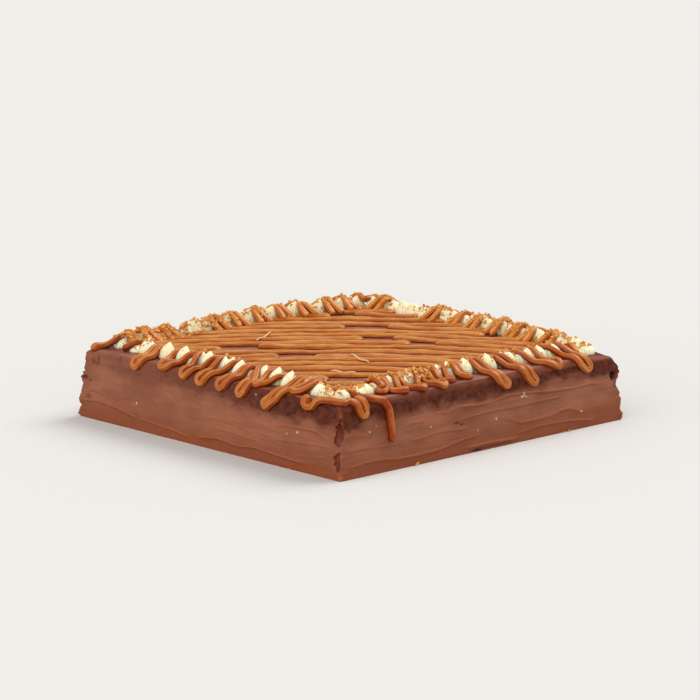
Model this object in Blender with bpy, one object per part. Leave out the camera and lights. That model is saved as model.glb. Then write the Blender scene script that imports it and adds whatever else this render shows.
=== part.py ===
"""Square chocolate cake with a piped cream border and a caramel line over its top.

The cake is one uncut block, coated with chocolate cream. It narrows a little towards its
top, its rim is rounded, and the spatula has left shallow waves along its sides and a ragged
groove down each upright corner. A border of star-shaped cream kisses stands on the top: a
row along each side and a larger kiss at each corner. One line of caramel runs to and fro
over the field inside the border, along the diagonal from the left corner to the right one.

Metres, +Z up. The origin is at the middle of the underside. The front corner, as the cake
is usually looked at, is the one at +X and -Y.
"""
import math
import random

import bmesh
import bpy
from mathutils import Matrix, Vector
from mathutils.geometry import interpolate_bezier

COLLECTION = "chocolate_caramel_cake"
GUIDES = "guides"
GAP = 0.0003                  # clearance between pieces that touch

# the cake
BASE_HALF = 0.1030            # half of a side at the foot: an eight-inch cake and its coat
TOP_HALF = 0.0995             # half of a side at the rim
HEIGHT = 0.0370
CORNER_RADIUS = 0.0030        # of the upright corners
CORNER_STEPS = 4
SIDE_STEPS = 16
RING_HEIGHTS = (0.0070, 0.0130, 0.0190, 0.0250, 0.0300)
RIM_RADIUS = 0.0026
RIM_STEPS = 2
FOOT_RADIUS = 0.0008
DROOP = 0.0016                # how far the rim sinks at the right corner
DROOP_REACH = 0.0140

# the coat's relief
STROKE_DEPTH = 0.0005         # of the waves that the spatula leaves along the sides
# one wave a line: its share of the depth, its turns per metre along X, Y and Z, and its start
STROKE_WAVES = (
    (0.48, 24, -31, 210, 0.0),
    (0.28, -41, 19, 430, 1.3),
    (0.24, 95, -95, 0, 2.1),
)
FOOT_FADE = 0.0050            # the waves die out over this height above the foot
RIM_FADE = 0.0040             # and over this height below the top
GROOVE_DEPTH = 0.0012         # of the ragged groove down each upright corner
GROOVE_UNEVEN = 0.25
GROOVE_WAVE = 700
LIP_HEIGHT = 0.0006           # how far the coat stands out beside that groove
LIP_WAVE = 520

# the cream border
KISS_RADIUS = 0.0050
KISS_HEIGHT = 0.0080
KISS_RIBS = 6
KISS_PROFILE = ((0.88, 0.0), (1.0, 0.24), (0.60, 0.66))    # radius and height of each ring
RIB_DEPTH = 0.22              # of a kiss's radius
RIB_UNEVEN = 0.02
KISS_PITCH = 0.0088
CORNER_KISS_RADIUS = 0.0052
CORNER_KISS_HEIGHT = 0.0076
CORNER_KISS_ROOM = 0.0113     # from a corner kiss's middle to the middle of the next one
FRONT_INSET = 0.0148          # from the rim to the border's middle line, on the front sides
BACK_INSET = 0.0096           # the same, on the back sides
TIP_LEAN = 0.0016             # how far a kiss's tip may lean
WIDTH_RANGE = (0.96, 1.08)    # how uneven the kisses are
HEIGHT_RANGE = (0.84, 1.08)
TURN_RANGE = (-0.08, 0.08)

# the caramel line
LINE_WIDTH = 0.0034
LINE_HEIGHT = 0.0024
# its section, as shares of that width and height
LINE_SECTION = ((-0.5, 0.45), (-0.2, 1.0), (0.2, 1.0), (0.5, 0.45), (0.42, 0.0), (-0.42, 0.0))
LINE_PITCH = 0.0108           # between neighbouring runs
LINE_HEADING = math.radians(44.5)
LINE_BOW = 0.0135             # the runs bow towards the back corner by this much
LINE_BOW_SPAN = 0.0966        # over this half length
LINE_STEP = 0.0200            # between points along a run
LINE_SEARCH = 0.0005          # step by which a run's end is looked for
TURN_STEPS = 4
TURN_HANDLE = 0.0050
LINE_CLEARANCE = 0.0108       # from the border's middle line to where a run ends


def srgb(red, green, blue):
    """A colour given as 0 to 255, as the linear values that a shader takes."""
    return tuple((value / 255) ** 2.2 for value in (red, green, blue)) + (1.0,)


def make_material(name, colour, roughness):
    material = bpy.data.materials.new(name)
    material.use_nodes = True
    shader = material.node_tree.nodes["Principled BSDF"]
    shader.inputs["Base Color"].default_value = colour
    shader.inputs["Roughness"].default_value = roughness
    shader.inputs["Metallic"].default_value = 0.0
    return material


def new_object(name, data, material, collection):
    made = bpy.data.objects.new(name, data)
    made.data.materials.append(material)
    collection.objects.link(made)
    return made


def new_guide(name, data, material, collection):
    """An object that only shapes another one."""
    made = new_object(name, data, material, collection)
    made.hide_render = True
    made.display_type = "WIRE"
    return made


def mesh_from(bm, name):
    bmesh.ops.recalc_face_normals(bm, faces=bm.faces)
    mesh = bpy.data.meshes.new(name)
    bm.to_mesh(mesh)
    bm.free()
    return mesh


def lift_face(bm, face, rise, scale, is_underside):
    """Extrude a level face upwards, widen or narrow it about the Z axis, and return the new one."""
    lifted = bmesh.ops.extrude_face_region(bm, geom=[face])["geom"]
    ring = [item for item in lifted if isinstance(item, bmesh.types.BMVert)]
    bmesh.ops.scale(bm, vec=(scale, scale, 1.0), verts=ring)
    bmesh.ops.translate(bm, vec=(0.0, 0.0, rise), verts=ring)
    if not is_underside:
        bmesh.ops.delete(bm, geom=[face], context="FACES_ONLY")
    return next(item for item in lifted if isinstance(item, bmesh.types.BMFace))


# ---- the cake --------------------------------------------------------------------------

def half_at(height):
    return BASE_HALF + (TOP_HALF - BASE_HALF) * height / HEIGHT


def coat_relief(position):
    """How far the coat stands out at a point of the sides: waves, corner grooves and lips."""
    x, y, z = position
    relief = 0.0
    for share, turns_x, turns_y, turns_z, start in STROKE_WAVES:
        relief += STROKE_DEPTH * share * math.sin(turns_x * x + turns_y * y + turns_z * z + start)
    past_corner = (2 * half_at(z) - abs(x) - abs(y)) / CORNER_RADIUS
    if past_corner < 0.75:
        relief -= GROOVE_DEPTH * (1 - GROOVE_UNEVEN + GROOVE_UNEVEN * math.sin(GROOVE_WAVE * z + x))
    elif past_corner < 1.05:
        relief += LIP_HEIGHT * math.sin(LIP_WAVE * (z + y / 2))
    return relief


def outward_from(position):
    """The level direction in which the coat faces at a point: diagonal at the corners."""
    out = Vector((position.x, position.y, 0.0))
    if abs(abs(out.x) - abs(out.y)) > 0.9 * CORNER_RADIUS:
        out[1 if abs(out.x) > abs(out.y) else 0] = 0.0
    return out.normalized()


def cake_mesh():
    """The block is lifted ring by ring from its underside, then the coat's relief is added."""
    bm = bmesh.new()
    bmesh.ops.create_grid(bm, x_segments=1, y_segments=1, size=BASE_HALF - FOOT_RADIUS)
    bmesh.ops.bevel(bm, geom=bm.verts[:], offset=CORNER_RADIUS, segments=CORNER_STEPS,
                    profile=0.5, affect="VERTICES")
    sides = [edge for edge in bm.edges if edge.calc_length() > BASE_HALF]
    bmesh.ops.subdivide_edges(bm, edges=sides, cuts=SIDE_STEPS - 1)
    levels = [(0.0, BASE_HALF - FOOT_RADIUS), (FOOT_RADIUS, half_at(FOOT_RADIUS))]
    levels += [(height, half_at(height)) for height in RING_HEIGHTS]
    for step in range(RIM_STEPS + 1):
        angle = step / RIM_STEPS * math.pi / 2
        height = HEIGHT - RIM_RADIUS * (1 - math.sin(angle))
        levels.append((height, half_at(height) - RIM_RADIUS * (1 - math.cos(angle))))
    face = next(iter(bm.faces))
    for (low, wide), (high, narrow) in zip(levels, levels[1:]):
        face = lift_face(bm, face, high - low, narrow / wide, low == 0.0)
    right_corner = Vector((TOP_HALF, TOP_HALF))
    for vert in bm.verts:
        height = vert.co.z
        fade = min(1.0, height / FOOT_FADE, (HEIGHT - height) / RIM_FADE)
        vert.co += outward_from(vert.co) * coat_relief(vert.co) * fade
        if HEIGHT - 1.1 * RIM_RADIUS < height < HEIGHT - 0.1 * RIM_RADIUS:
            reach = (vert.co.xy - right_corner).length
            vert.co.z -= DROOP * math.exp(-(reach / DROOP_REACH) ** 2)
    return mesh_from(bm, "cake")


# ---- the cream border ------------------------------------------------------------------

def add_kiss(bm, centre, radius, height, heading, draw):
    """One star-shaped kiss: a ribbed ring, drawn up and in to a tip that leans."""
    made = bmesh.ops.create_circle(bm, cap_ends=True, segments=2 * KISS_RIBS, radius=1.0)
    face = made["verts"][0].link_faces[0]
    first = len(bm.verts) - 2 * KISS_RIBS
    for (wide, low), (narrow, high) in zip(KISS_PROFILE, KISS_PROFILE[1:]):
        face = lift_face(bm, face, high - low, narrow / wide, low == 0.0)
    tip = bmesh.ops.poke(bm, faces=[face])["verts"][0]
    tip.co.z = 1.0
    bm.verts.ensure_lookup_table()
    verts = bm.verts[first:]
    for vert in verts:
        rib = round(math.atan2(vert.co.y, vert.co.x) / (math.pi / KISS_RIBS))
        if rib % 2:
            vert.co.xy *= 1.0 - RIB_DEPTH
        vert.co.xy *= KISS_PROFILE[0][0] * draw.uniform(1 - RIB_UNEVEN, 1 + RIB_UNEVEN)
    bmesh.ops.rotate(bm, matrix=Matrix.Rotation(heading, 3, "Z"), verts=verts)
    bmesh.ops.scale(bm, vec=(radius, radius, height), verts=verts)
    lean = Vector((draw.uniform(-TIP_LEAN, TIP_LEAN), draw.uniform(-TIP_LEAN, TIP_LEAN), 0.0))
    for vert in verts:
        vert.co += lean * (vert.co.z / height) ** 2
    bmesh.ops.translate(bm, vec=(centre.x, centre.y, HEIGHT + GAP), verts=verts)


def border_corner(side_x, side_y):
    """Where the border's middle lines meet. The front sides are those at +X and -Y."""
    x = TOP_HALF - FRONT_INSET if side_x > 0 else BACK_INSET - TOP_HALF
    y = FRONT_INSET - TOP_HALF if side_y < 0 else TOP_HALF - BACK_INSET
    return Vector((x, y))


def row_places(start, end):
    """The kisses' places along one side, evenly spaced between its two corner kisses."""
    run = end - start
    spread = run.length - 2 * CORNER_KISS_ROOM
    count = round(spread / KISS_PITCH) + 1
    for index in range(count):
        yield start + run.normalized() * (CORNER_KISS_ROOM + spread * index / (count - 1))


def kiss_row(name, start, end, material, collection, guides, seed):
    """A row of kisses that run into each other, as one piece: every other kiss joins the rest."""
    draw = random.Random(seed)
    run = end - start
    heading = math.atan2(run.y, run.x)
    halves = (bmesh.new(), bmesh.new())
    for index, place in enumerate(row_places(start, end)):
        radius = KISS_RADIUS * draw.uniform(*WIDTH_RANGE)
        height = KISS_HEIGHT * draw.uniform(*HEIGHT_RANGE)
        turned = heading + draw.uniform(*TURN_RANGE)
        add_kiss(halves[index % 2], place, radius, height, turned, draw)
    row = new_object(name, mesh_from(halves[0], name), material, collection)
    others = new_guide(name + "_others", mesh_from(halves[1], name), material, guides)
    join = row.modifiers.new("join", "BOOLEAN")
    join.operation = "UNION"
    join.solver = "EXACT"
    join.object = others


def corner_kiss(name, centre, material, collection, seed):
    draw = random.Random(seed)
    bm = bmesh.new()
    height = CORNER_KISS_HEIGHT * draw.uniform(*HEIGHT_RANGE)
    add_kiss(bm, centre, CORNER_KISS_RADIUS, height, draw.uniform(0.0, 1.0), draw)
    new_object(name, mesh_from(bm, name), material, collection)


# ---- the caramel line ------------------------------------------------------------------

def run_point(along, across):
    """A point of a run, which bows towards the back corner."""
    away = across - LINE_BOW * (along / LINE_BOW_SPAN) ** 2
    return Matrix.Rotation(LINE_HEADING, 2) @ Vector((along, away))


def run_end(across, direction, low, high):
    """How far a run reaches to the left (-1) or the right (1) before it meets the border."""
    along = 0.0
    while True:
        further = along + direction * LINE_SEARCH
        point = run_point(further, across)
        if not (low.x < point.x < high.x and low.y < point.y < high.y):
            return along
        along = further


def turn_points(leaving, entering):
    """A turn from the end of one run into the start of the next, without its two ends."""
    handle_out = leaving[-1] + (leaving[-1] - leaving[-2]).normalized() * TURN_HANDLE
    handle_in = entering[0] + (entering[0] - entering[1]).normalized() * TURN_HANDLE
    arch = (leaving[-1], handle_out, handle_in, entering[0])
    return interpolate_bezier(*(point.to_3d() for point in arch), TURN_STEPS + 1)[1:-1]


def line_route():
    """The line's points: runs along the diagonal, joined by turns that follow the border."""
    low = border_corner(-1, -1) + Vector((LINE_CLEARANCE, LINE_CLEARANCE))
    high = border_corner(1, 1) - Vector((LINE_CLEARANCE, LINE_CLEARANCE))
    level = Matrix.Rotation(-LINE_HEADING, 2)
    front = (level @ Vector((high.x, low.y))).y
    back = (level @ Vector((low.x, high.y))).y
    count = int((back - front) / LINE_PITCH)
    first = (front + back - (count - 1) * LINE_PITCH) / 2
    route = []
    for index in range(count):
        across = first + index * LINE_PITCH
        direction = 1 if index % 2 == 0 else -1
        start = run_end(across, -direction, low, high)
        stop = run_end(across, direction, low, high)
        steps = max(1, round(abs(stop - start) / LINE_STEP))
        run = [run_point(start + (stop - start) * step / steps, across) for step in range(steps + 1)]
        if route:
            route += [point.xy for point in turn_points(route, run)]
        route += run
    return route


def caramel_line(material, collection, guides):
    """A line with a flat underside: its section is drawn once and swept along the route."""
    section = bpy.data.curves.new("line_section", "CURVE")
    section.dimensions = "2D"
    spline = section.splines.new("POLY")
    spline.points.add(len(LINE_SECTION) - 1)
    for point, (across, up) in zip(spline.points, LINE_SECTION):
        point.co = (across * LINE_WIDTH, up * LINE_HEIGHT, 0.0, 1.0)
    spline.use_cyclic_u = True
    curve = bpy.data.curves.new("caramel_line", "CURVE")
    curve.dimensions = "3D"
    curve.twist_mode = "Z_UP"
    curve.bevel_mode = "OBJECT"
    curve.bevel_object = new_guide("line_section", section, material, guides)
    curve.use_fill_caps = True
    route = line_route()
    spline = curve.splines.new("POLY")
    spline.points.add(len(route) - 1)
    for point, place in zip(spline.points, route):
        point.co = (place.x, place.y, HEIGHT + GAP, 1.0)
    new_object("caramel_line", curve, material, collection)


# ---- the whole -------------------------------------------------------------------------

def build():
    for old in list(bpy.data.objects):
        bpy.data.objects.remove(old)
    collection = bpy.data.collections.new(COLLECTION)
    guides = bpy.data.collections.new(GUIDES)
    for made in (collection, guides):
        bpy.context.scene.collection.children.link(made)
    chocolate = make_material("chocolate_coat", srgb(142, 84, 60), 0.5)
    cream = make_material("whipped_cream", srgb(244, 236, 200), 0.45)
    caramel = make_material("caramel", srgb(188, 112, 52), 0.25)
    new_object("cake", cake_mesh(), chocolate, collection)
    caramel_line(caramel, collection, guides)
    corners = {
        "left": border_corner(-1, -1),
        "front": border_corner(1, -1),
        "right": border_corner(1, 1),
        "back": border_corner(-1, 1),
    }
    sides = (
        ("cream_row_front_left", "left", "front"),
        ("cream_row_front_right", "front", "right"),
        ("cream_row_back_right", "right", "back"),
        ("cream_row_back_left", "back", "left"),
    )
    for seed, (name, start, end) in enumerate(sides):
        kiss_row(name, corners[start], corners[end], cream, collection, guides, seed + 11)
    for seed, (name, centre) in enumerate(corners.items()):
        corner_kiss("cream_corner_" + name, centre, cream, collection, seed + 31)


build()
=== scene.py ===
"""Square chocolate cake with a piped cream border, caramel strands and golden crumbs.

Metres, +Z up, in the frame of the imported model: the front corner is the one at +X and -Y.
The sections follow the cake as it is made: coat, cream, caramel, crumbs.
"""
import math
import random

import bmesh
import bpy
import numpy as np
from mathutils import Matrix, Vector, noise
from mathutils.bvhtree import BVHTree


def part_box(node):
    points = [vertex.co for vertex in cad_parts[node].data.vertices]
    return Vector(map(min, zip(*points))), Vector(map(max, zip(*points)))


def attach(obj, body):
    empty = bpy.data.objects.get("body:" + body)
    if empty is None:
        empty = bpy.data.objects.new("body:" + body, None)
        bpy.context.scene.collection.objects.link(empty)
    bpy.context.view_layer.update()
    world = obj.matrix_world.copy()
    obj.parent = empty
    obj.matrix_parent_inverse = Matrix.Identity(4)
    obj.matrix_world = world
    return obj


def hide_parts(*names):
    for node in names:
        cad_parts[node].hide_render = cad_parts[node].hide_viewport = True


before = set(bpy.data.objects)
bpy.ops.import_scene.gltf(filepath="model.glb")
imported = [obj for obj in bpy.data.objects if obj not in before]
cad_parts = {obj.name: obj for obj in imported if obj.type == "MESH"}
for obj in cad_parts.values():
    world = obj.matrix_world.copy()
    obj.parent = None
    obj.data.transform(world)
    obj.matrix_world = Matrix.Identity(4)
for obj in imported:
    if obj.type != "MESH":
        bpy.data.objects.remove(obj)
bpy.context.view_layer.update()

# ---- the view ---------------------------------------------------------------------------
# A photographer's long lens looks down on the front corner from a low stool. The cake stands
# on a pale table under soft studio light: one softbox high on the right, which grazes the
# right side, and a wider one in front on the left.

VIEW_TURN = math.radians(46.83)
VIEW_RISE = math.radians(12.14)
VIEW_DISTANCE = 1.777
VIEW_CENTRE = Vector((0.0, 0.0, 0.0170))
AIM_HEIGHT = 0.0371
LENS = 170.2
SENSOR_WIDTH = 36.0
FARTHEST = 20.0                 # how far the lens sees
SOFTBOX_DISTANCE = 2.0
ROOM_COLOUR = (1.0, 0.985, 0.96, 1.0)
ROOM_LIGHT = 0.52
TABLE_RADIUS = 4.0
TABLE_COLOUR = (0.685, 0.677, 0.652, 1.0)


def seen_from(turn, rise, distance):
    """A place around the cake, given as the view's own angles are."""
    level = distance * math.cos(rise)
    return Vector((level * math.sin(turn), -level * math.cos(turn), distance * math.sin(rise)))


def aim(thing, target):
    thing.rotation_euler = (target - thing.location).to_track_quat("-Z", "Y").to_euler()


lens = bpy.data.cameras.new("view")
lens.lens = LENS
lens.sensor_width = SENSOR_WIDTH
lens.clip_end = FARTHEST
view = bpy.data.objects.new("view", lens)
view.location = VIEW_CENTRE + seen_from(VIEW_TURN, VIEW_RISE, VIEW_DISTANCE)
aim(view, Vector((0.0, 0.0, AIM_HEIGHT)))
bpy.context.scene.collection.objects.link(view)
bpy.context.scene.camera = view
bpy.context.scene.view_settings.view_transform = "Standard"

# name, turn from the view, rise and softness in degrees, strength
SOFTBOXES = (
    ("softbox_right", 124, 50, 40, 1.9),
    ("softbox_front", -36, 34, 80, 1.68),
)
for name, turn, rise, softness, strength in SOFTBOXES:
    lamp = bpy.data.lights.new(name, "SUN")
    lamp.angle = math.radians(softness)
    lamp.energy = strength
    softbox = bpy.data.objects.new(name, lamp)
    softbox.location = seen_from(VIEW_TURN + math.radians(turn), math.radians(rise), SOFTBOX_DISTANCE)
    aim(softbox, VIEW_CENTRE)
    bpy.context.scene.collection.objects.link(softbox)

room = bpy.data.worlds.new("room")
room.use_nodes = True
room_light = room.node_tree.nodes["Background"]
room_light.inputs["Color"].default_value = ROOM_COLOUR
room_light.inputs["Strength"].default_value = ROOM_LIGHT
bpy.context.scene.world = room


def new_piece(name, bm, material):
    """Make the finished mesh an object of the scene, shaded smooth."""
    mesh = bpy.data.meshes.new(name)
    bm.to_mesh(mesh)
    bm.free()
    mesh.shade_smooth()
    mesh.materials.append(material)
    piece = bpy.data.objects.new(name, mesh)
    bpy.context.scene.collection.objects.link(piece)
    return piece


table_finish = bpy.data.materials.new("table")
table_finish.use_nodes = True
table_shader = table_finish.node_tree.nodes["Principled BSDF"]
table_shader.inputs["Base Color"].default_value = TABLE_COLOUR
table_shader.inputs["Roughness"].default_value = 0.9
table_shader.inputs["Specular IOR Level"].default_value = 0.1
bm = bmesh.new()
bmesh.ops.create_circle(bm, cap_ends=True, segments=96, radius=TABLE_RADIUS)
new_piece("table", bm, table_finish)

# ---- the cake in its coat ---------------------------------------------------------------
# One uncut block in a thin coat of chocolate cream. The spatula has drawn the coat along the
# sides in long strokes, which end in thin lips, and has left it ragged at the upright corners.
# Under the rim the dark crumb of the cake shows through.

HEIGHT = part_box("cake")[1].z
TOP_HALF = 0.0995
BASE_HALF = 0.1030
CORNER_RADIUS = 0.0013
RIM_RADIUS = 0.0026
TOP_CUTS = 159
SIDE_CUTS = 95
EDGE_CROWDING = 0.35            # draws the cuts together towards the corners
DROOP = 0.0022                  # the rim sinks at the right corner
DROOP_REACH = 0.0150
DROOP_HEIGHTS = (0.50, 0.95)    # where it starts and is full, as shares of the height
# how squarely a point of the skin faces a side, or up, to count as part of that side or the top
SIDE_FACING = 0.6
TOP_FACING = 0.7
LEVEL_FACING = 0.9              # points that face up more than this aren't moved at the corners

STROKE_DEPTH = 1.7              # how deep the strokes are, as a share of the list below
STROKE_EDGE = 0.00033           # how sharply a stroke's lower edge drops
STROKE_FALL = 0.0055            # how far up the side its swell reaches
STROKE_ENDS = 0.0060            # how long a stroke takes to fade in and out
STROKES_STOP = 0.0045           # how far below the top the strokes have faded out
STROKES_FADE = 0.0030
FOOT_FADE = 0.0012              # how far above the foot all relief fades out
LIP_LINE = 0.00045              # how wide the lip under a stroke is
LIP_FULL = 0.35                 # a stroke that stands out so far has a full lip
LIP_SHADE = 0.22                # the darkest shade under a lip
# A stroke is the height of its lip at places along the side, both in millimetres from the
# side's left end as it is looked at, and how far it stands out.
FRONT_LEFT_STROKES = (
    (((3, 9.5), (16, 10.4), (24, 9.6), (38, 8.0), (46, 6.4)), 0.45),
    (((50, 6.2), (63, 5.4), (76, 4.9), (90, 3.2)), 0.35),
    (((96, 4.2), (108, 4.8)), 0.25),
    (((64, 15.0), (74, 15.0), (84, 13.8)), 0.10),
    (((4, 14.4), (11, 15.8), (20, 14.4)), 0.30),
    (((100, 15.4), (112, 16.2), (119, 16.0), (133, 15.0)), 0.22),
    (((110, 11.2), (124, 11.0), (135, 10.3), (145, 10.2)), 0.24),
    (((101, 5.2), (114, 6.3), (129, 5.0), (142, 6.3), (160, 5.2), (178, 4.6)), 0.60),
    (((155, 19.4), (161, 21.0), (174, 21.8), (186, 21.9), (191, 20.6), (195, 18.8)), 0.32),
    (((144, 15.2), (149, 14.2), (154, 13.8)), 0.24),
    (((159, 13.2), (172, 14.4), (184, 15.1), (195, 15.8)), 0.26),
    (((150, 9.2), (163, 9.4), (174, 9.0)), 0.14),
    (((172, 7.8), (186, 9.0), (197, 10.2)), 0.16),
    (((119, 18.2), (131, 17.2), (145, 15.8)), 0.14),
)
FRONT_RIGHT_STROKES = (
    (((4, 21.4), (12, 21.0), (20, 20.0)), 0.22),
    (((7, 14.0), (15, 14.0), (25, 13.2), (38, 13.0)), 0.26),
    (((7, 6.0), (18, 6.8), (29, 6.6), (41, 5.2), (55, 5.0), (70, 5.4), (85, 7.6), (98, 8.6)), 0.42),
    (((50, 13.0), (60, 13.2), (68, 14.2), (76, 13.9), (90, 13.0)), 0.30),
    (((43, 20.0), (50, 21.6), (60, 21.2)), 0.24),
    (((69, 24.0), (77, 23.2), (85, 24.8), (97, 24.2)), 0.26),
    (((84, 19.0), (91, 19.2), (99, 19.0)), 0.24),
    (((86, 24.8), (96, 24.0), (106, 23.8), (121, 25.6), (134, 25.0), (153, 23.2), (170, 22.2),
      (183, 22.8), (191, 22.0)), 0.40),
    (((84, 18.0), (96, 18.8), (112, 19.2), (129, 18.9), (142, 19.2), (160, 19.0)), 0.36),
    (((118, 13.6), (124, 12.2), (128, 10.2), (140, 10.0), (150, 10.2), (157, 11.2)), 0.30),
    (((157, 11.6), (164, 12.3), (170, 10.6), (175, 9.0)), 0.42),
    (((90, 3.0), (104, 3.2), (124, 2.4)), 0.40),
    (((128, 4.8), (141, 6.2), (158, 5.9), (171, 5.0), (183, 3.4)), 0.34),
)
BACK_STROKES = 13               # on each back side, which are finished like the front ones

# Small pits and gaps of the two front sides, in millimetres: place along the side, height,
# half their length, half their height, depth, and how dark they are: up to a half the reddish
# crumb, and past it a painted shadow.
FRONT_LEFT_PITS = (
    (200, 33, 1.0, 1.2, 0.5, 0.5), (197, 32, 0.8, 1.0, 0.4, 0.4), (4, 22, 1.5, 1.2, 0.6, 0.8),
    (7, 20.5, 0.9, 0.8, 0.5, 0.6), (7, 12, 2.5, 1.5, 0.3, 0.35),
)
FRONT_RIGHT_PITS = (
    (201.3, 25.5, 2.0, 3.0, 2.6, 1.0), (186, 31, 0.8, 1.5, 0.8, 0.6), (190, 31, 0.7, 1.5, 0.8, 0.6),
    (194, 30.5, 0.9, 1.3, 0.7, 0.6), (82.5, 16.8, 1.7, 0.8, 0.9, 0.6), (86, 15.6, 1.5, 0.7, 0.9, 0.6),
    (96, 1, 4, 0.7, 0.9, 1.0), (110, 1.3, 14, 0.4, 0.4, 0.8), (5, 34.5, 1.2, 1.0, 0.5, 0.5),
    (8, 31.5, 1.6, 1.6, 0.4, 0.4),
)

# The ragged left and right corners, in millimetres: height, and how far the coat stands out.
LEFT_CORNER = (
    (0, -0.2), (1.5, 1.6), (5.8, 0.7), (7.9, 1.7), (10, 2.3), (13, 1.1), (14.8, 1.7), (18, 0.2),
    (21.7, 2.9), (23.1, 0.9), (24.3, 2.3), (24.9, -0.1), (26.4, 1.0), (28.2, 0.6), (33, 1.7),
    (35.5, 1.9),
)
RIGHT_CORNER = (
    (1, 0.4), (3.6, 1.7), (5.7, 0.5), (8.3, 1.0), (11.7, 1.9), (13.6, 1.1), (15.8, 1.1),
    (19.3, -0.6), (21.8, -0.2), (23, 1.2), (27.1, 2.3), (31.5, 2.4), (33.5, 1.5), (36, 0.5),
)
CORNER_HOLD = 0.0018            # how far along the faces a corner's tooth reaches
CORNER_REACH = 0.0120           # how far from a corner its raggedness is looked for
ROUGH_REACH = 0.0045            # the small teeth: how far along the faces, and how high
ROUGH_RISE = 0.0007
# The torn groove of the front corner, in millimetres: height, and its width on either face.
# The back corner's is guessed to be like it.
GROOVE = (
    (4.2, 0, 0), (4.7, 2.5, 0), (6.0, 3.5, 0.3), (8.4, 4.7, 0.3), (11.6, 4.7, 0.1), (14.0, 2.1, 0),
    (14.8, 0, 0), (16.6, 0, 0), (17.1, 2.8, 0), (17.9, 5.4, 0.1), (20.2, 4.7, 2.3), (23.4, 3.7, 2.7),
    (26.5, 3.4, 1.7), (28.9, 1.6, 0.1), (29.4, 0, 0),
)
GROOVE_DEPTH = 0.0011
GROOVE_BOW = 0.0006             # how much deeper its middle is
GROOVE_ROUGH = 0.0009           # how uneven its floor is
GROOVE_CLOSED = 0.0006          # where it is narrower than this it is whole
GROOVE_REACH = 0.0015           # how far outside it its lip is looked for
GROOVE_WALL = 0.0005
GROOVE_LIP = 0.0008
BACK_GROOVE_LIFT = 0.0030       # how much higher the back corner's groove sits
# The coat's own unevenness: how far its waves, its drawn streaks and its crumb stand out.
TOP_WAVES = 0.00045
TOP_CRUMB = 0.00012
SIDE_WAVES = 0.00060
SIDE_STREAKS = 0.00034
SIDE_CRUMB = 0.00006
BAND_CRUMB = 0.00028            # the dark band under the rim is rougher, and has pits
BAND_PITS = 0.0016
BAND_START = 0.0260
BAND_FADE = 0.0040


def guessed_strokes(draw):
    """Strokes like the seen ones, in millimetres: long, nearly level, with a slight bow."""
    for _ in range(BACK_STROKES):
        start = draw.uniform(4, 150)
        length = draw.uniform(18, 70)
        height = draw.uniform(4, 24)
        bow = draw.uniform(-1.6, 1.6)
        ends = (height + draw.uniform(-1.5, 1.5), height + draw.uniform(-1.5, 1.5))
        stop = min(200, start + length)
        middle = (start + stop) / 2
        line = ((start, ends[0]), (middle, height + bow), (stop, ends[1]))
        yield line, draw.uniform(0.15, 0.5)


def draw_strokes(along, height, strokes):
    """How far a side's strokes stand out at its points, how near a lip and how shaded each is."""
    relief, lips, shades = np.zeros((3, len(along)))
    for line, rise in strokes:
        places, levels = np.array(line).T / 1000
        above = height - np.interp(along, places, levels)
        inside = np.minimum(along - places[0], places[-1] - along) / STROKE_ENDS
        inside = np.clip(inside + 0.5, 0, 1)
        inside = inside * inside * (3 - 2 * inside)
        swell = 0.5 * (1 + np.tanh(above / STROKE_EDGE)) * np.exp(-np.maximum(above, 0) / STROKE_FALL)
        lip = np.exp(-((above - LIP_LINE / 2) / LIP_LINE) ** 2)
        under = np.exp(-((above + 1.3 * LIP_LINE) / LIP_LINE) ** 2)
        relief += STROKE_DEPTH * rise / 1000 * inside * (swell + 0.5 * lip)
        lips = np.maximum(lips, inside * lip * min(1.0, rise / LIP_FULL))
        shades = np.maximum(shades, inside * under * min(LIP_SHADE, 0.5 * rise))
    return relief, lips, shades


def press_pits(along, height, pits):
    """How deep a side's pits are at its points, and how dark."""
    depths, shades = np.zeros((2, len(along)))
    for place, level, half_long, half_tall, depth, shade in pits:
        off = ((along * 1000 - place) / half_long) ** 2 + ((height * 1000 - level) / half_tall) ** 2
        press = np.exp(-off ** 1.5)
        depths += depth / 1000 * press
        shades = np.maximum(shades, shade * press)
    return depths, shades


def half_at(height):
    return BASE_HALF + (TOP_HALF - BASE_HALF) * height / HEIGHT


def clamp(value, limit):
    return max(-limit, min(limit, value))


def ease(share):
    share = max(0.0, min(1.0, share))
    return share * share * (3 - 2 * share)


def round_block(place):
    """Round off the block's upright corners, then its rim."""
    half = half_at(place.z)
    core = half - CORNER_RADIUS
    inner = Vector((clamp(place.x, core), clamp(place.y, core)))
    past = place.xy - inner
    if past.x and past.y:
        past = past.normalized() * max(abs(past.x), abs(past.y))
    level = inner + past
    across = RIM_RADIUS - (half - max(abs(place.x), abs(place.y)))
    up = place.z - (HEIGHT - RIM_RADIUS)
    if across <= 0 or up <= 0:
        return Vector((level.x, level.y, place.z))
    stretch = max(across, up) / math.hypot(across, up)
    flat = half - RIM_RADIUS
    out = (place.xy - Vector((clamp(place.x, flat), clamp(place.y, flat)))).normalized()
    level -= out * across * (1 - stretch)
    return Vector((level.x, level.y, HEIGHT - RIM_RADIUS + up * stretch))


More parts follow.
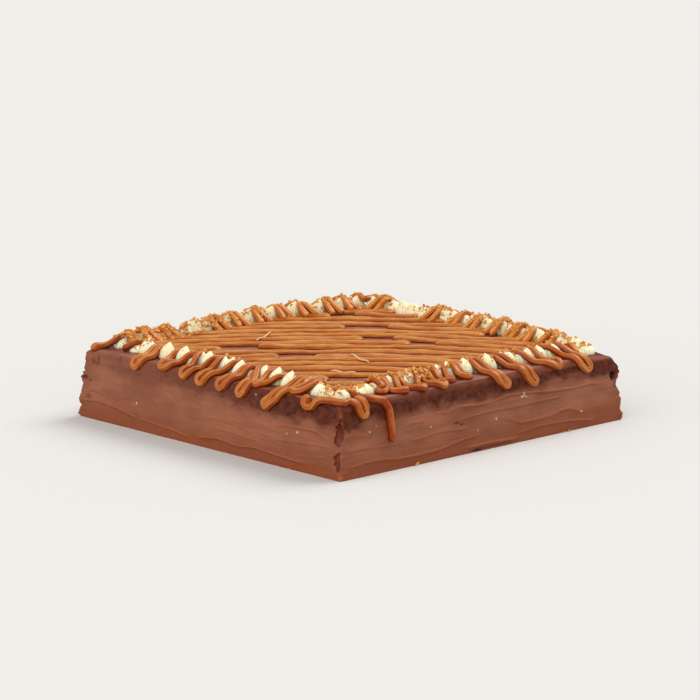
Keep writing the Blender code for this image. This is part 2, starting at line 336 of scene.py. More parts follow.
def tear_groove(place, half, signs, lift):
    """Move a point near a corner into the torn groove. Also: how deep in it and its lip it is."""
    levels, lefts, rights = np.array(GROOVE).T / 1000
    ragged = noise.noise(Vector((place.z * 700, signs.x * 3, 1.0)))
    ragged += 0.8 * noise.noise(Vector((place.z * 1700, signs.x * 5, 2.0)))
    left, right = (float(np.interp(place.z - lift, levels, wide)) for wide in (lefts, rights))
    if left + right < GROOVE_CLOSED:
        return place, 0.0, 0.0
    left *= 1 + 0.35 * ragged
    right *= 1 - 0.35 * ragged
    on_left_face = abs(place.y) > abs(place.x)
    along = abs(place.x) - half if on_left_face else half - abs(place.y)
    outside = max(-(along + left), along - right)
    if outside > GROOVE_REACH:
        return place, 0.0, 0.0
    share = max(0.0, min(1.0, (along + left) / (left + right)))
    start = Vector((signs.x * (half - left), signs.y * half))
    end = Vector((signs.x * half, signs.y * (half - right)))
    depth = GROOVE_DEPTH + GROOVE_BOW * 4 * share * (1 - share)
    depth += GROOVE_ROUGH * noise.noise(place * 750)
    floor = start + (end - start) * share - signs.normalized() * depth
    inside = ease(-outside / GROOVE_WALL)
    moved = place.xy.lerp(floor, inside)
    crumbly = noise.noise(place * 900)
    lip = math.exp(-((outside - 0.0003) / 0.0004) ** 2) * max(0.0, 0.6 + 0.7 * ragged + crumbly)
    moved += signs.normalized() * GROOVE_LIP * lip
    return Vector((moved.x, moved.y, place.z)), inside, lip


def own_relief(place, upward):
    """How far the coat's own unevenness stands out at a point, and how dark its pits are.

    The noise has its scales in turns per metre.
    """
    waves = noise.noise(place * 34.0) * 0.55 + noise.noise(place * 95.0) * 0.22
    crumb = noise.noise(place * 420.0 + Vector((7.0, 0.0, 0.0)))
    if upward:
        return TOP_WAVES * waves + TOP_CRUMB * crumb, 0.0
    drawn = Vector((place.x * 24, place.y * 24, place.z * 260))
    band = ease((place.z - BAND_START) / BAND_FADE)
    pit = max(0.0, noise.noise(place * 260.0) - 0.30) * band
    rise = SIDE_WAVES * waves + SIDE_STREAKS * noise.noise(drawn)
    rise += crumb * (SIDE_CRUMB + BAND_CRUMB * band) - BAND_PITS * pit
    return rise, min(0.45, 1.6 * pit)


def tear_corner(place, half, away):
    """Make a point near an upright corner ragged. What it gives: where the point moves to, how
    much further it stands out, what share of all relief it keeps, its lip and its shade."""
    signs = Vector((math.copysign(1.0, place.x), math.copysign(1.0, place.y)))
    face = 2.3 if abs(place.x) > abs(place.y) else 0.0
    below_rim = ease((HEIGHT - 0.0010 - place.z) / 0.005)
    teeth = noise.noise(Vector((place.z * 480.0, signs.x * 3.7 + face, signs.y * 7.9)))
    rough = ROUGH_RISE * math.exp(-(away / ROUGH_REACH) ** 2) * below_rim * (0.2 + 1.3 * teeth)
    if signs.x == signs.y:
        corner = RIGHT_CORNER if signs.x > 0 else LEFT_CORNER
        levels, outs = np.array(corner).T / 1000
        hold = below_rim if signs.x > 0 else ease((HEIGHT + 0.0010 - place.z) / 0.003)
        tooth = float(np.interp(place.z, levels, outs)) * hold
        place.xy += signs.normalized() * tooth * math.exp(-(away / CORNER_HOLD) ** 2)
        # painted shade in the recesses between the corner's teeth
        recess_shade = min(0.6, max(0.0, 0.0006 - tooth) * 600)
        return place, rough, 1.0, 0.0, recess_shade * math.exp(-(away / 0.003) ** 2) * below_rim
    place, inside, torn = tear_groove(place, half, signs, 0.0 if signs.x > 0 else BACK_GROOVE_LIFT)
    edge = max(0.0, noise.noise(Vector((place.z * 260.0, signs.x * 5.0, 4.0))))
    lip = max(0.9 * torn, 2.4 * edge * math.exp(-(away / 0.0016) ** 2) * (1 - inside))
    # the groove's floor: the cake's reddish crumb, and where deepest a painted shadow
    return place, rough, 1 - inside, lip, inside * (0.42 + 0.3 * noise.noise(place * 500))


bm = bmesh.new()
bmesh.ops.create_cube(bm, size=2.0)
bottom = min(bm.faces, key=lambda face: face.calc_center_median().z)
bmesh.ops.delete(bm, geom=[bottom], context="FACES_ONLY")
for axis, cuts in ((2, SIDE_CUTS), (0, TOP_CUTS), (1, TOP_CUTS)):
    # the edges that run the cube's whole length of 2 along this axis
    whole = [edge for edge in bm.edges if abs((edge.verts[0].co - edge.verts[1].co)[axis]) > 1.9]
    bmesh.ops.subdivide_edges(bm, edges=whole, cuts=cuts, use_grid_fill=True)
for vert in bm.verts:
    height = (vert.co.z + 1) / 2 * HEIGHT
    x, y = (
        ((1 + EDGE_CROWDING) * share - EDGE_CROWDING * share ** 3) * half_at(height)
        for share in vert.co.xy
    )
    vert.co = round_block(Vector((x, y, height)))
rim = [edge for edge in bm.edges if edge.is_boundary]
bmesh.ops.contextual_create(bm, geom=rim)
bmesh.ops.recalc_face_normals(bm, faces=bm.faces)
bm.normal_update()

places = np.array([vert.co for vert in bm.verts])
facings = np.array([vert.normal for vert in bm.verts])
relief, depths, lips, shades = np.zeros((4, len(places)))
back_draw = random.Random(5)
# each side: the axis it runs along and its sense, the axis it faces and its sense, what is on it
SIDES = (
    (0, 1, 1, -1, FRONT_LEFT_STROKES, FRONT_LEFT_PITS),
    (1, 1, 0, 1, FRONT_RIGHT_STROKES, FRONT_RIGHT_PITS),
    (0, -1, 1, 1, tuple(guessed_strokes(back_draw)), ()),
    (1, -1, 0, -1, tuple(guessed_strokes(back_draw)), ()),
)
for run_axis, run_sense, face_axis, face_sense, strokes, pits in SIDES:
    on_side = facings[:, face_axis] * face_sense > SIDE_FACING
    along = BASE_HALF + run_sense * places[on_side, run_axis]
    relief[on_side], lips[on_side], under = draw_strokes(along, places[on_side, 2], strokes)
    depths[on_side], pit_shades = press_pits(along, places[on_side, 2], pits)
    shades[on_side] = np.maximum(under, pit_shades)
foot_fade = np.clip(places[:, 2] / FOOT_FADE, 0, 1)
rim_fade = np.clip((HEIGHT - STROKES_STOP - places[:, 2]) / STROKES_FADE, 0, 1)
relief *= foot_fade * rim_fade

lip_layer = bm.verts.layers.float.new("lip")
shade_layer = bm.verts.layers.float.new("shade")
for vert, rise, depth, lip, shade, fade in zip(bm.verts, relief, depths, lips, shades, foot_fade):
    place = vert.co.copy()
    out = vert.normal.copy()
    own_rise, pit_shade = own_relief(place, out.z > TOP_FACING)
    rise += own_rise
    shade = max(shade, pit_shade)
    half = half_at(place.z)
    away = 2 * half - abs(place.x) - abs(place.y)
    if out.z < LEVEL_FACING and away < CORNER_REACH:
        out.z = 0.0
        out.normalize()
        place, rough, share, torn_lip, torn_shade = tear_corner(place, half, away)
        rise = (rise + rough) * share
        lip = max(lip, torn_lip)
        shade = max(shade, torn_shade)
    vert[lip_layer] = lip
    vert[shade_layer] = shade
    vert.co = place + out * (rise * fade - depth)
    away = (place.xy - Vector((TOP_HALF, TOP_HALF))).length
    sink = DROOP * math.exp(-(away / DROOP_REACH) ** 2)
    vert.co.z -= sink * float(np.interp(place.z / HEIGHT, DROOP_HEIGHTS, (0.0, 1.0)))
    if place.z == 0.0:
        vert.co.z = 0.0


def srgb(red, green, blue):
    """A colour given as 0 to 255, as the linear values that a shader takes."""
    return tuple((value / 255) ** 2.2 for value in (red, green, blue)) + (1.0,)


class Finish:
    """A new material, and short ways to add the nodes that its pattern is made of."""

    def __init__(self, name, source="Object"):
        self.material = bpy.data.materials.new(name)
        self.material.use_nodes = True
        self.tree = self.material.node_tree
        self.shader = self.tree.nodes["Principled BSDF"]
        self.places = self.tree.nodes.new("ShaderNodeTexCoord").outputs[source]

    def join(self, value, socket):
        if isinstance(value, bpy.types.NodeSocket):
            self.tree.links.new(value, socket)
        else:
            socket.default_value = value

    def add(self, kind, inputs=None, output=0, **settings):
        node = self.tree.nodes.new("ShaderNode" + kind)
        for key, value in settings.items():
            setattr(node, key, value)
        for key, value in (inputs or {}).items():
            self.join(value, node.inputs[key])
        return node.outputs[output]

    def speckle(self, scale, detail=3.0, stretch=(1.0, 1.0, 1.0), rough=0.55, shift=0.0):
        """Noise of a scale in turns per metre, drawn out along an axis where stretch is small."""
        stretched = self.add("Mapping", {"Vector": self.places, "Scale": stretch,
                                         "Location": (shift, shift, shift)})
        return self.add("TexNoise", {"Vector": stretched, "Scale": scale, "Detail": detail,
                                     "Roughness": rough})

    def span(self, value, low, high, first=0.0, last=1.0, smooth=True):
        """Bring a value's range low to high to first to last, and hold it there."""
        kind = "SMOOTHSTEP" if smooth else "LINEAR"
        return self.add("MapRange", {"Value": value, "From Min": low, "From Max": high,
                                     "To Min": first, "To Max": last}, interpolation_type=kind)

    def blend(self, amount, first, second):
        """The first colour with as much of the second as the amount says."""
        node = self.tree.nodes.new("ShaderNodeMix")
        node.data_type = "RGBA"
        for index, value in ((0, amount), (6, first), (7, second)):
            self.join(value, node.inputs[index])
        return node.outputs[2]

    def mark(self, name):
        """What the mesh's own layer of this name says at a point."""
        return self.add("Attribute", output=2, attribute_name=name)

    def reckon(self, kind, first, second=0.0):
        return self.add("Math", {0: first, 1: second}, operation=kind)

    def plus(self, first, second):
        return self.reckon("ADD", first, second)

    def times(self, first, second):
        return self.reckon("MULTIPLY", first, second)

    def colour(self, socket):
        self.tree.links.new(socket, self.shader.inputs["Base Color"])

    def gloss(self, value):
        self.join(value, self.shader.inputs["Roughness"])

    def shine(self, value):
        self.join(value, self.shader.inputs["Specular IOR Level"])

    def glow(self, weight, radius):
        """Let light soak in, to a depth in metres for each of red, green and blue."""
        for key, value in (("Weight", weight), ("Radius", radius), ("Scale", 1.0)):
            self.shader.inputs["Subsurface " + key].default_value = value

    def bump(self, height, distance, strength=1.0, below=None):
        node = self.tree.nodes.new("ShaderNodeBump")
        node.inputs["Strength"].default_value = strength
        node.inputs["Distance"].default_value = distance
        self.tree.links.new(height, node.inputs["Height"])
        if below:
            self.tree.links.new(below, node.inputs["Normal"])
        self.tree.links.new(node.outputs["Normal"], self.shader.inputs["Normal"])
        return node.outputs["Normal"]


MILK_DEEP = srgb(134, 76, 51)
MILK_PALE = srgb(152, 91, 64)
DRAWN_STREAK_TONE = srgb(120, 70, 52)
FINE_STREAK_TONE = srgb(116, 64, 44)
# painted reflection of warm light on the lower coat
FOOT_REFLECTION_TONE = srgb(130, 68, 40)
LOW_REFLECTION_STREAK_TONE = srgb(138, 68, 20)
LOWEST_REFLECTION_TONE = srgb(140, 64, 18)
BAND_DEEP = srgb(68, 31, 21)
BAND_PALE = srgb(102, 51, 36)
# painted sheen on the right side's rounded rim
RIM_SHEEN_TONE = srgb(132, 72, 52)
# painted highlight along the lips
LIP_HIGHLIGHT_TONE = srgb(172, 92, 48)
TOP_TONE = srgb(112, 62, 46)
# painted sheen on the level top along the right side
TOP_RIGHT_SHEEN_TONE = srgb(132, 84, 72)
TOP_CLOUD_TONE = srgb(156, 106, 92)
# painted reflection on the glossy top between the strands
FIELD_SHEEN_TONE = srgb(154, 104, 84)
# the cake's reddish crumb where the coat is torn, also used as painted shade; painted shadow in holes
CRUMB_AND_SHADE_TONE = srgb(110, 48, 26)
HOLLOW_SHADOW_TONE = srgb(30, 12, 8)
coat = Finish("chocolate_coat")
coat_split = coat.tree.nodes.new("ShaderNodeSeparateXYZ")
coat.join(coat.places, coat_split.inputs[0])
coat_x, coat_y, height_above = coat_split.outputs
clouds = coat.speckle(38.0, 3.0, (1.0, 1.0, 1.8))
drawn_streaks = coat.speckle(60.0, 4.0, (0.35, 0.35, 4.0), 0.6)
fine_streaks = coat.speckle(150.0, 3.0, (0.25, 0.25, 5.0), 0.6, shift=4.0)
grain = coat.speckle(900.0, 2.0)
mottle = coat.speckle(260.0, 3.0, rough=0.7, shift=3.0)
milk = coat.blend(coat.span(clouds, 0.35, 0.65), MILK_DEEP, MILK_PALE)
milk = coat.blend(coat.span(drawn_streaks, 0.50, 0.70, 0.0, 0.6), milk, DRAWN_STREAK_TONE)
milk = coat.blend(coat.span(fine_streaks, 0.55, 0.75, 0.0, 0.45), milk, FINE_STREAK_TONE)
# painted reflection of warm light on the lower coat: the foot is warmer, and low streaks too
milk = coat.blend(coat.span(height_above, 0.002, 0.016, 0.8, 0.0), milk, FOOT_REFLECTION_TONE)
low_reflection_streaks = coat.speckle(45.0, 2.0, (0.5, 0.5, 3.2), shift=8.0)
low_reflection = coat.times(coat.span(low_reflection_streaks, 0.50, 0.66, 0.0, 0.7),
                       coat.span(height_above, 0.003, 0.014, 1.0, 0.0))
milk = coat.blend(low_reflection, milk, LOW_REFLECTION_STREAK_TONE)
# painted reflection, warmest at the bottom edge
milk = coat.blend(coat.span(height_above, 0.0015, 0.0085, 0.35, 0.0), milk, LOWEST_REFLECTION_TONE)
# the dark band's lower edge is wavy and torn
band_wave = coat.span(coat.speckle(34.0, 2.0, shift=5.0), 0.3, 0.7, -0.0024, 0.0024)
band_grain = coat.speckle(180.0, 3.0, (0.6, 0.6, 1.4), 0.65, shift=7.0)
band_tear = coat.span(band_grain, 0.3, 0.7, -0.0013, 0.0013)
band_level = coat.plus(coat.plus(height_above, band_wave), band_tear)
band = coat.span(band_level, 0.0236, 0.0304)
# the band fades towards the left corner and ends there in blotches
band_part = coat.span(coat_x, -0.100, 0.060, 0.16, 1.0, smooth=False)
blotch = coat.span(coat.speckle(120.0, 3.0, shift=6.0), 0.46, 0.62, 0.0, 0.6)
blotch = coat.times(blotch, coat.span(height_above, 0.0280, 0.0310))
band = coat.times(band, coat.reckon("MAXIMUM", blotch, band_part))
dark = coat.blend(coat.span(mottle, 0.35, 0.65), BAND_DEEP, BAND_PALE)
body = coat.blend(band, milk, dark)
# painted sheen: along the right side the rounded rim itself is paler, most of all at the right corner
rim_sheen = coat.times(coat.span(coat_x, 0.0935, 0.0975),
                      coat.span(height_above, HEIGHT - 0.0042, HEIGHT - 0.0026))
rim_sheen = coat.times(rim_sheen, coat.span(coat_y, 0.0, 0.075, 0.35, 0.9))
body = coat.blend(rim_sheen, body, RIM_SHEEN_TONE)
# painted highlight along the lips of the strokes and along the torn edges
body = coat.blend(coat.times(coat.mark("lip"), 0.8), body, LIP_HIGHLIGHT_TONE)
# painted sheen: the level top is paler along the right side
top_skin = coat.blend(coat.span(coat_x, 0.080, 0.092), TOP_TONE, TOP_RIGHT_SHEEN_TONE)
top_skin = coat.blend(coat.span(clouds, 0.35, 0.75), top_skin, TOP_CLOUD_TONE)
# between the caramel strands the coat was smoothed with a wet spatula and is glossy; its paler colour
# there is a painted reflection
from_middle = coat.reckon("MAXIMUM", coat.reckon("ABSOLUTE", coat_x), coat.reckon("ABSOLUTE", coat_y))
in_field = coat.span(from_middle, 0.0840, 0.0880, 1.0, 0.0)
top_skin = coat.blend(in_field, top_skin, FIELD_SHEEN_TONE)
on_top = coat.span(height_above, HEIGHT - 0.0006, HEIGHT - 0.0001)
body = coat.blend(on_top, body, top_skin)
# the shade mark: reddish crumb in the torn groove and pits, painted shade under the lips and in
# recesses, and past a half the painted shadow of holes and gaps
shade_mark = coat.mark("shade")
body = coat.blend(coat.span(shade_mark, 0.03, 0.5, smooth=False), body, CRUMB_AND_SHADE_TONE)
body = coat.blend(coat.span(shade_mark, 0.5, 0.95), body, HOLLOW_SHADOW_TONE)
coat.colour(body)
wet = coat.times(on_top, in_field)
coat.gloss(coat.plus(coat.span(wet, 0.0, 1.0, 0.54, 0.22), coat.span(mottle, 0.3, 0.7, -0.05, 0.08)))
coat.shine(coat.reckon("SUBTRACT", coat.span(wet, 0.0, 1.0, 0.34, 0.9), coat.times(band, 0.22)))
fine = coat.bump(grain, 0.00012, 0.35)
streaked = coat.bump(fine_streaks, 0.0006, 0.8, fine)
coat.bump(mottle, 0.00045, 0.75, streaked)
coat.glow(0.08, (0.0035, 0.0014, 0.0007))

cake = new_piece("chocolate_cake", bm, coat.material)
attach(cake, "root")
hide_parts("cake")

# ---- the cream border -------------------------------------------------------------------
# Small kisses of whipped cream, squeezed from a star nozzle in a row along each side, with
# one at each corner. The nozzle's teeth rib them, and the hand draws each one out to a short
# pointed tip that falls towards the middle of the cake.

INNER_HALF = TOP_HALF - RIM_RADIUS      # to the edge of the level top
KISS_RADIUS = 0.0049
BACK_KISS_RADIUS = 0.0051
CORNER_KISS_RADIUS = 0.0050
# how uneven the hand is from kiss to kiss: shares of a kiss's size, twist, lean and lean aside,
# how far it is pressed out of round, and how far off the row's line it stands
SIZE_SPREAD = (0.93, 1.05)
TWIST_SPREAD = (-1.0, 1.2)
LEAN_SPREAD = (0.8, 1.15)
ASIDE_SPREAD = (-0.14, 0.14)
SQUASH_SPREAD = (0.94, 1.07)
ROW_SPREAD = (-0.0004, 0.0004)
KISS_SINK = 0.0007
KISS_RIBS = 12
RIB_STEPS = 4                   # faces across a rib
KISS_RIB_DEPTH = 0.11
KISS_PROFILE = (                # radius and height, as shares
    (0.0, 0.0), (0.88, 0.01), (0.97, 0.07), (1.0, 0.16), (0.98, 0.27), (0.92, 0.37),
    (0.86, 0.47), (0.75, 0.57), (0.62, 0.67), (0.46, 0.77), (0.29, 0.86), (0.14, 0.94), (0.0, 1.0),
)
KISS_TWIST = 0.35
TIP_LEAN = 0.24                 # how far the tip falls inward, as a share of the height
LEAN_BEND = 1.7
BACK_KISS_PITCH = 8.0           # millimetres, as in the lists below
BACK_ROW = (18.6, 178.0)        # where the back right row starts, and where it ends at most
BACK_KISS_HEIGHTS = (7.8, 9.3)
# the rows, in millimetres: place along the side, and height
FRONT_LEFT_KISSES = (
    (24.3, 4.8), (31.9, 9.3), (40.5, 5.0), (48.7, 9.2), (55.2, 4.8), (61.5, 8.9), (67.8, 5.0),
    (74.6, 8.4), (80.8, 9.0), (86.6, 5.4), (92.9, 8.3), (98.8, 8.6), (107.1, 8.4), (115.0, 5.2),
    (126.2, 8.8), (136.6, 9.4), (147.0, 9.0), (154.6, 5.6), (162.0, 8.0), (170.2, 7.2), (176.3, 5.8),
)
FRONT_RIGHT_KISSES = (
    (24.6, 5.2), (31.0, 5.8), (38.7, 7.9), (47.5, 7.4), (55.1, 8.0), (61.6, 8.8), (68.9, 5.0),
    (75.4, 5.2), (82.0, 8.2), (89.3, 8.8), (95.9, 5.2), (101.8, 8.8), (110.3, 7.6), (118.6, 8.8),
    (128.6, 8.4), (133.8, 8.4), (140.4, 7.2), (147.6, 7.9), (156.0, 8.0), (161.6, 7.8), (166.3, 7.8),
    (172.6, 6.6), (179.4, 5.0),
)
BACK_LEFT_KISSES = (
    (18.6, 8.2), (26.4, 8.8), (34.2, 9.2), (42.4, 9.6), (50.2, 9.9), (58.4, 9.8), (66.2, 9.2),
    (74.4, 9.2), (82.4, 9.4), (90.8, 9.4), (98.6, 9.2), (106.8, 8.8), (114.6, 8.6), (122.6, 8.4),
    (130.4, 9.6), (136.8, 8.2), (144.2, 4.4), (151.2, 6.4), (159.2, 7.6), (167.0, 7.6), (175.0, 8.0),
)
# each row's line, in millimetres: place along the side, and how far in from the level edge
ROW_LINES = {
    "front_left": ((9, 12.6), (100, 12.8), (143, 10.4), (170, 8.9), (186, 10.0)),
    "front_right": ((14, 11.3), (31, 11.9), (95, 12.4), (160, 11.4), (178, 9.0), (190, 5.5)),
    "back_right": ((9, 5.5), (34, 8.4), (45, 8.4), (66, 5.0), (78, 3.7), (165, 3.7), (185, 8.4)),
    "back_left": ((12, 9.4), (40, 9.8), (53, 6.5), (65, 4.2), (130, 4.2), (180, 5.4), (184, 6.6)),
}
# the corner kisses, in millimetres from the cake's middle, and their heights
CORNER_KISSES = {
    "left": (-89.4, -83.4, 7.2), "front": (85.9, -86.2, 6.2),
    "right": (89.4, 88.8, 6.6), "back": (-87.0, 87.0, 8.0),
}


def on_front_left(along, reach):
    """A point of the level top: its place along the side, and how far out past the edge."""
    return Vector((along - TOP_HALF, -INNER_HALF - reach))


def on_front_right(along, reach):
    return Vector((INNER_HALF + reach, along - TOP_HALF))


def on_back_right(along, reach):
    return Vector((TOP_HALF - along, INNER_HALF + reach))


def on_back_left(along, reach):
    return Vector((-INNER_HALF - reach, TOP_HALF - along))


def row_reach(side, along):
    places, insets = np.array(ROW_LINES[side]).T / 1000
    return -float(np.interp(along, places, insets))


def roll_up(bm, centres, facings, sides, shape):
    """Roll a flat grid into a closed tube round a route.

    The grid's X runs along the route and its Y goes once round it. facings are the way that
    the tube's top looks at each centre, and shape(step, turn) is how far its skin is from
    the centre, level and upright, and how much painted light it gets, from painted shade in
    the folds to painted highlight on the crests.
    """
    uv = bm.loops.layers.uv.verify()
    painted_light_layer = bm.verts.layers.float.get("ridge") or bm.verts.layers.float.new("ridge")
    last = len(centres) - 1
    made = bmesh.ops.create_grid(bm, x_segments=last, y_segments=sides, size=1.0)["verts"]
    travelled = [0.0]
    for here, there in zip(centres, centres[1:]):
        travelled.append(travelled[-1] + (there - here).length * 1000)
    frames = []
    for step, (centre, facing) in enumerate(zip(centres, facings)):
        ahead = centres[min(step + 1, last)] - centres[max(step - 1, 0)]
        across = ahead.cross(facing).normalized()
        frames.append((centre, across, across.cross(ahead).normalized()))
    for vert in made:
        step = round((vert.co.x + 1) / 2 * last)
        side = round((vert.co.y + 1) / 2 * sides)
        for loop in vert.link_loops:
            loop[uv].uv = (travelled[step], side / sides)
        centre, across, up = frames[step]
        turn = side % sides / sides * math.tau
        level, upright, ridge = shape(step, turn)
        vert.co = centre + across * (level * math.cos(turn)) + up * (upright * math.sin(turn))
        vert[painted_light_layer] = ridge
    faces = {face for vert in made for face in vert.link_faces}
    bmesh.ops.remove_doubles(bm, verts=made, dist=1e-7)
    bmesh.ops.recalc_face_normals(bm, faces=[face for face in faces if face.is_valid])


def squeeze_kiss(bm, place, inward, height, draw, radius):
    """One kiss, its ribs pressed by the nozzle's teeth and its tip drawn inward."""
    size = radius * draw.uniform(*SIZE_SPREAD)
    start = draw.uniform(0, math.tau)
    twist = KISS_TWIST * draw.uniform(*TWIST_SPREAD)
    aside = Vector((-inward.y, inward.x)) * draw.uniform(*ASIDE_SPREAD)
    lean = (inward * draw.uniform(*LEAN_SPREAD) + aside) * TIP_LEAN * height
    squash = draw.uniform(*SQUASH_SPREAD)
    ground = HEIGHT - KISS_SINK
    ground -= DROOP * math.exp(-((place - Vector((TOP_HALF, TOP_HALF))).length / DROOP_REACH) ** 2)
    centres = []
    for _, rise in KISS_PROFILE:
        offset = lean * rise ** LEAN_BEND
        centres.append(Vector((place.x + offset.x, place.y + offset.y, ground + height * rise)))
    facings = [Vector((1.0, 0.0, 0.0))] * len(centres)

    def shape(step, turn):
        radius, rise = KISS_PROFILE[step]
        ridge = abs(math.cos(KISS_RIBS * (turn + start + twist * rise) / 2))
        out = radius * size * (1 - KISS_RIB_DEPTH * (1 - ridge) * min(1.0, radius * 3))
        return out * squash, out / squash, ridge

    roll_up(bm, centres, facings, KISS_RIBS * RIB_STEPS, shape)


def even_kisses(draw):
    """The back right row's kisses: evenly spaced, as a steady hand does, but not exactly."""
    place, stop = BACK_ROW
    while place < stop:
        yield place, draw.uniform(*BACK_KISS_HEIGHTS)
        place += BACK_KISS_PITCH * draw.uniform(0.88, 1.12)


CREAM_DEEP = srgb(246, 236, 190)
CREAM_PALE = srgb(252, 247, 214)
# the painted shade in the folds between the ribs
CREAM_FOLD_SHADE_TONE = srgb(230, 206, 136)
whipped = Finish("whipped_cream")
whipped_clouds = whipped.speckle(160.0, 3.0)
whipped_pores = whipped.speckle(1500.0, 2.0)
whipped_tone = whipped.blend(whipped.span(whipped_clouds, 0.3, 0.7), CREAM_DEEP, CREAM_PALE)
# painted shade: the folds between the ribs are yellower
folds = whipped.span(whipped.mark("ridge"), 0.0, 0.7, 0.65, 0.0)
whipped.colour(whipped.blend(folds, whipped_tone, CREAM_FOLD_SHADE_TONE))
whipped.gloss(whipped.span(whipped_clouds, 0.3, 0.7, 0.42, 0.55))
whipped.shine(0.35)
whipped.bump(whipped_pores, 0.00008, 0.5)
whipped.glow(0.5, (0.0036, 0.0023, 0.0009))

cream_draw = random.Random(21)
ROWS = (
    ("front_left", on_front_left, FRONT_LEFT_KISSES),
    ("front_right", on_front_right, FRONT_RIGHT_KISSES),
    ("back_right", on_back_right, tuple(even_kisses(cream_draw))),
    ("back_left", on_back_left, BACK_LEFT_KISSES),
)
kiss_pieces = []
for side, lay, kisses in ROWS:
    inward = (lay(0.0, -1.0) - lay(0.0, 0.0)).normalized()
    bm = bmesh.new()
    for along, height in kisses:
        reach = row_reach(side, along / 1000) + cream_draw.uniform(*ROW_SPREAD)
        place = lay(along / 1000, reach)
        size = BACK_KISS_RADIUS if side.startswith("back") else KISS_RADIUS
        squeeze_kiss(bm, place, inward, height / 1000, cream_draw, size)
    piece = new_piece("kisses_" + side, bm, whipped.material)
    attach(piece, "root")
    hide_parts("cream_row_" + side)
    kiss_pieces.append(piece)
for corner, (x, y, height) in CORNER_KISSES.items():
    place = Vector((x, y)) / 1000
    bm = bmesh.new()
    squeeze_kiss(bm, place, -place.normalized(), height / 1000, cream_draw, CORNER_KISS_RADIUS)
    piece = new_piece("kiss_" + corner, bm, whipped.material)
    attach(piece, "root")
    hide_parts("cream_corner_" + corner)
    kiss_pieces.append(piece)

# ---- the caramel over the field ---------------------------------------------------------
# Thick caramel sauce, squeezed in strands from the left corner to the right one. The hand
# swings, so the strands bow towards the back, swell and thin, run together in places, and
# stop and start again with a round blob. The nozzle's edge leaves fine grooves along them.

UP = Vector((0.0, 0.0, 1.0))
# the field's lower and upper corner, between the rows of kisses
FIELD_LOW = Vector((0.0085 - TOP_HALF, 0.0175 - TOP_HALF))
FIELD_HIGH = Vector((TOP_HALF - 0.0175, TOP_HALF - 0.0085))
BACK_STRAND = 0.1240            # the middle of the first strand, across them
FRONT_STRAND = -0.1080
BACK_PITCH = 0.0104
FRONT_PITCH = 0.0128
STRAND_HEADING = math.radians(44.5)
STRAND_BOW = 0.0135
STRAND_SPAN = 0.0966
STRAND_STEP = 0.0013
REACH_STEP = 0.0005
STRAND_WIDE = 0.0040            # half a strand's width
STRAND_TALL = 0.0017            # half its height
STRAND_SIDES = 24
STRAND_RIBS = 8
STRAND_RIB_DEPTH = 0.05
STRAND_PRESS = 0.45             # how high a strand's middle lies, as a share of half its height
STRAND_ROLL = 0.8               # how far its grooves wind to and fro round it
# painted light: the tone halfway up, a painted highlight on top and on the ribs
STRAND_PAINTED_LIGHT = (0.24, 0.62, 0.10)        # halfway up, how much paler on top, and on a rib
STRAND_BALL = 1.35              # how long a strand's round end is, as a share of its half width
STRAND_BLOB = 1.12              # how thick the end is, as a share of the strand
STRAND_SWING = 0.0028           # how far the hand sways aside, slowly and quickly
STRAND_TREMBLE = 0.0013
STRAND_SWELL = 0.32             # how much a strand swells and thins, slowly and quickly
STRAND_BEADS = 0.16
RESTART_DRIFT = 0.0046          # how far aside a strand starts again after a break
DRIFT_REACH = 0.0180
LOOSE_ENDS = 0.0040             # how much a strand's ends fall short of the cream at most
SHORTEST_STRAND = 0.0120
SHORTEST_PART = 0.0060
# Where strands stop and start again, in millimetres: which strand, by its place across them,
# and the places along it where it stops and starts.
STRAND_BREAKS = (
    (61.7, -4.3, 18.0), (17.9, 32.7, 45.0), (-21.6, -36.0, -18.8), (42.7, 72.5, 79.0),
    (22.3, 6.6, 22.0), (-1.4, -68.0, -50.0), (-81.3, -7.0, 9.0), (92.0, -14.0, -2.0),
)
# thin threads of caramel that fell slantwise over the strands: along and across, in millimetres
THREADS = (
    ((-51.2, 14.0), (-44.2, 38.3)), ((0.8, -22.6), (12.2, -45.4)), ((-7.7, -66.6), (6.4, -71.1)),
)
THREAD_RADIUS = 0.00042
THREAD_LEVEL = 0.0026           # how high they lie above the coat, on the strands
THREAD_SAG = 0.0004
THREAD_STEPS = 14
THREAD_SIDES = 10
THREAD_PALE = 2.0               # past the crests' own range, for the thread's palest tone
# the sauce's tones, from painted shade in the folds to painted highlight on the crests
FIELD_TONES = (srgb(146, 60, 0), srgb(175, 96, 18), srgb(197, 134, 68))
THREAD_TONE = srgb(236, 196, 152)


def strand_point(along, across):
    """A point of the top, from its place along and across the strands."""
    away = across - STRAND_BOW * (along / STRAND_SPAN) ** 2
    return Matrix.Rotation(STRAND_HEADING, 2) @ Vector((along, away))


def strand_reach(across, sense):
    """How far a strand reaches to the left (-1) or the right (1) before it meets the cream."""
    along = 0.0
    while True:
        ahead = along + sense * REACH_STEP
        x, y = strand_point(ahead, across)
        if not (FIELD_LOW.x < x < FIELD_HIGH.x and FIELD_LOW.y < y < FIELD_HIGH.y):
            return along
        along = ahead


def round_end(end, ball, blob):
    """How thick a strand is, so far from its end, when the end is a round blob."""
    if end < ball:
        return blob * math.sqrt(max(0.0, 1 - (1 - end / ball) ** 2))
    return 1 + (blob - 1) * max(0.0, 3 * ball - end) / (2 * ball)


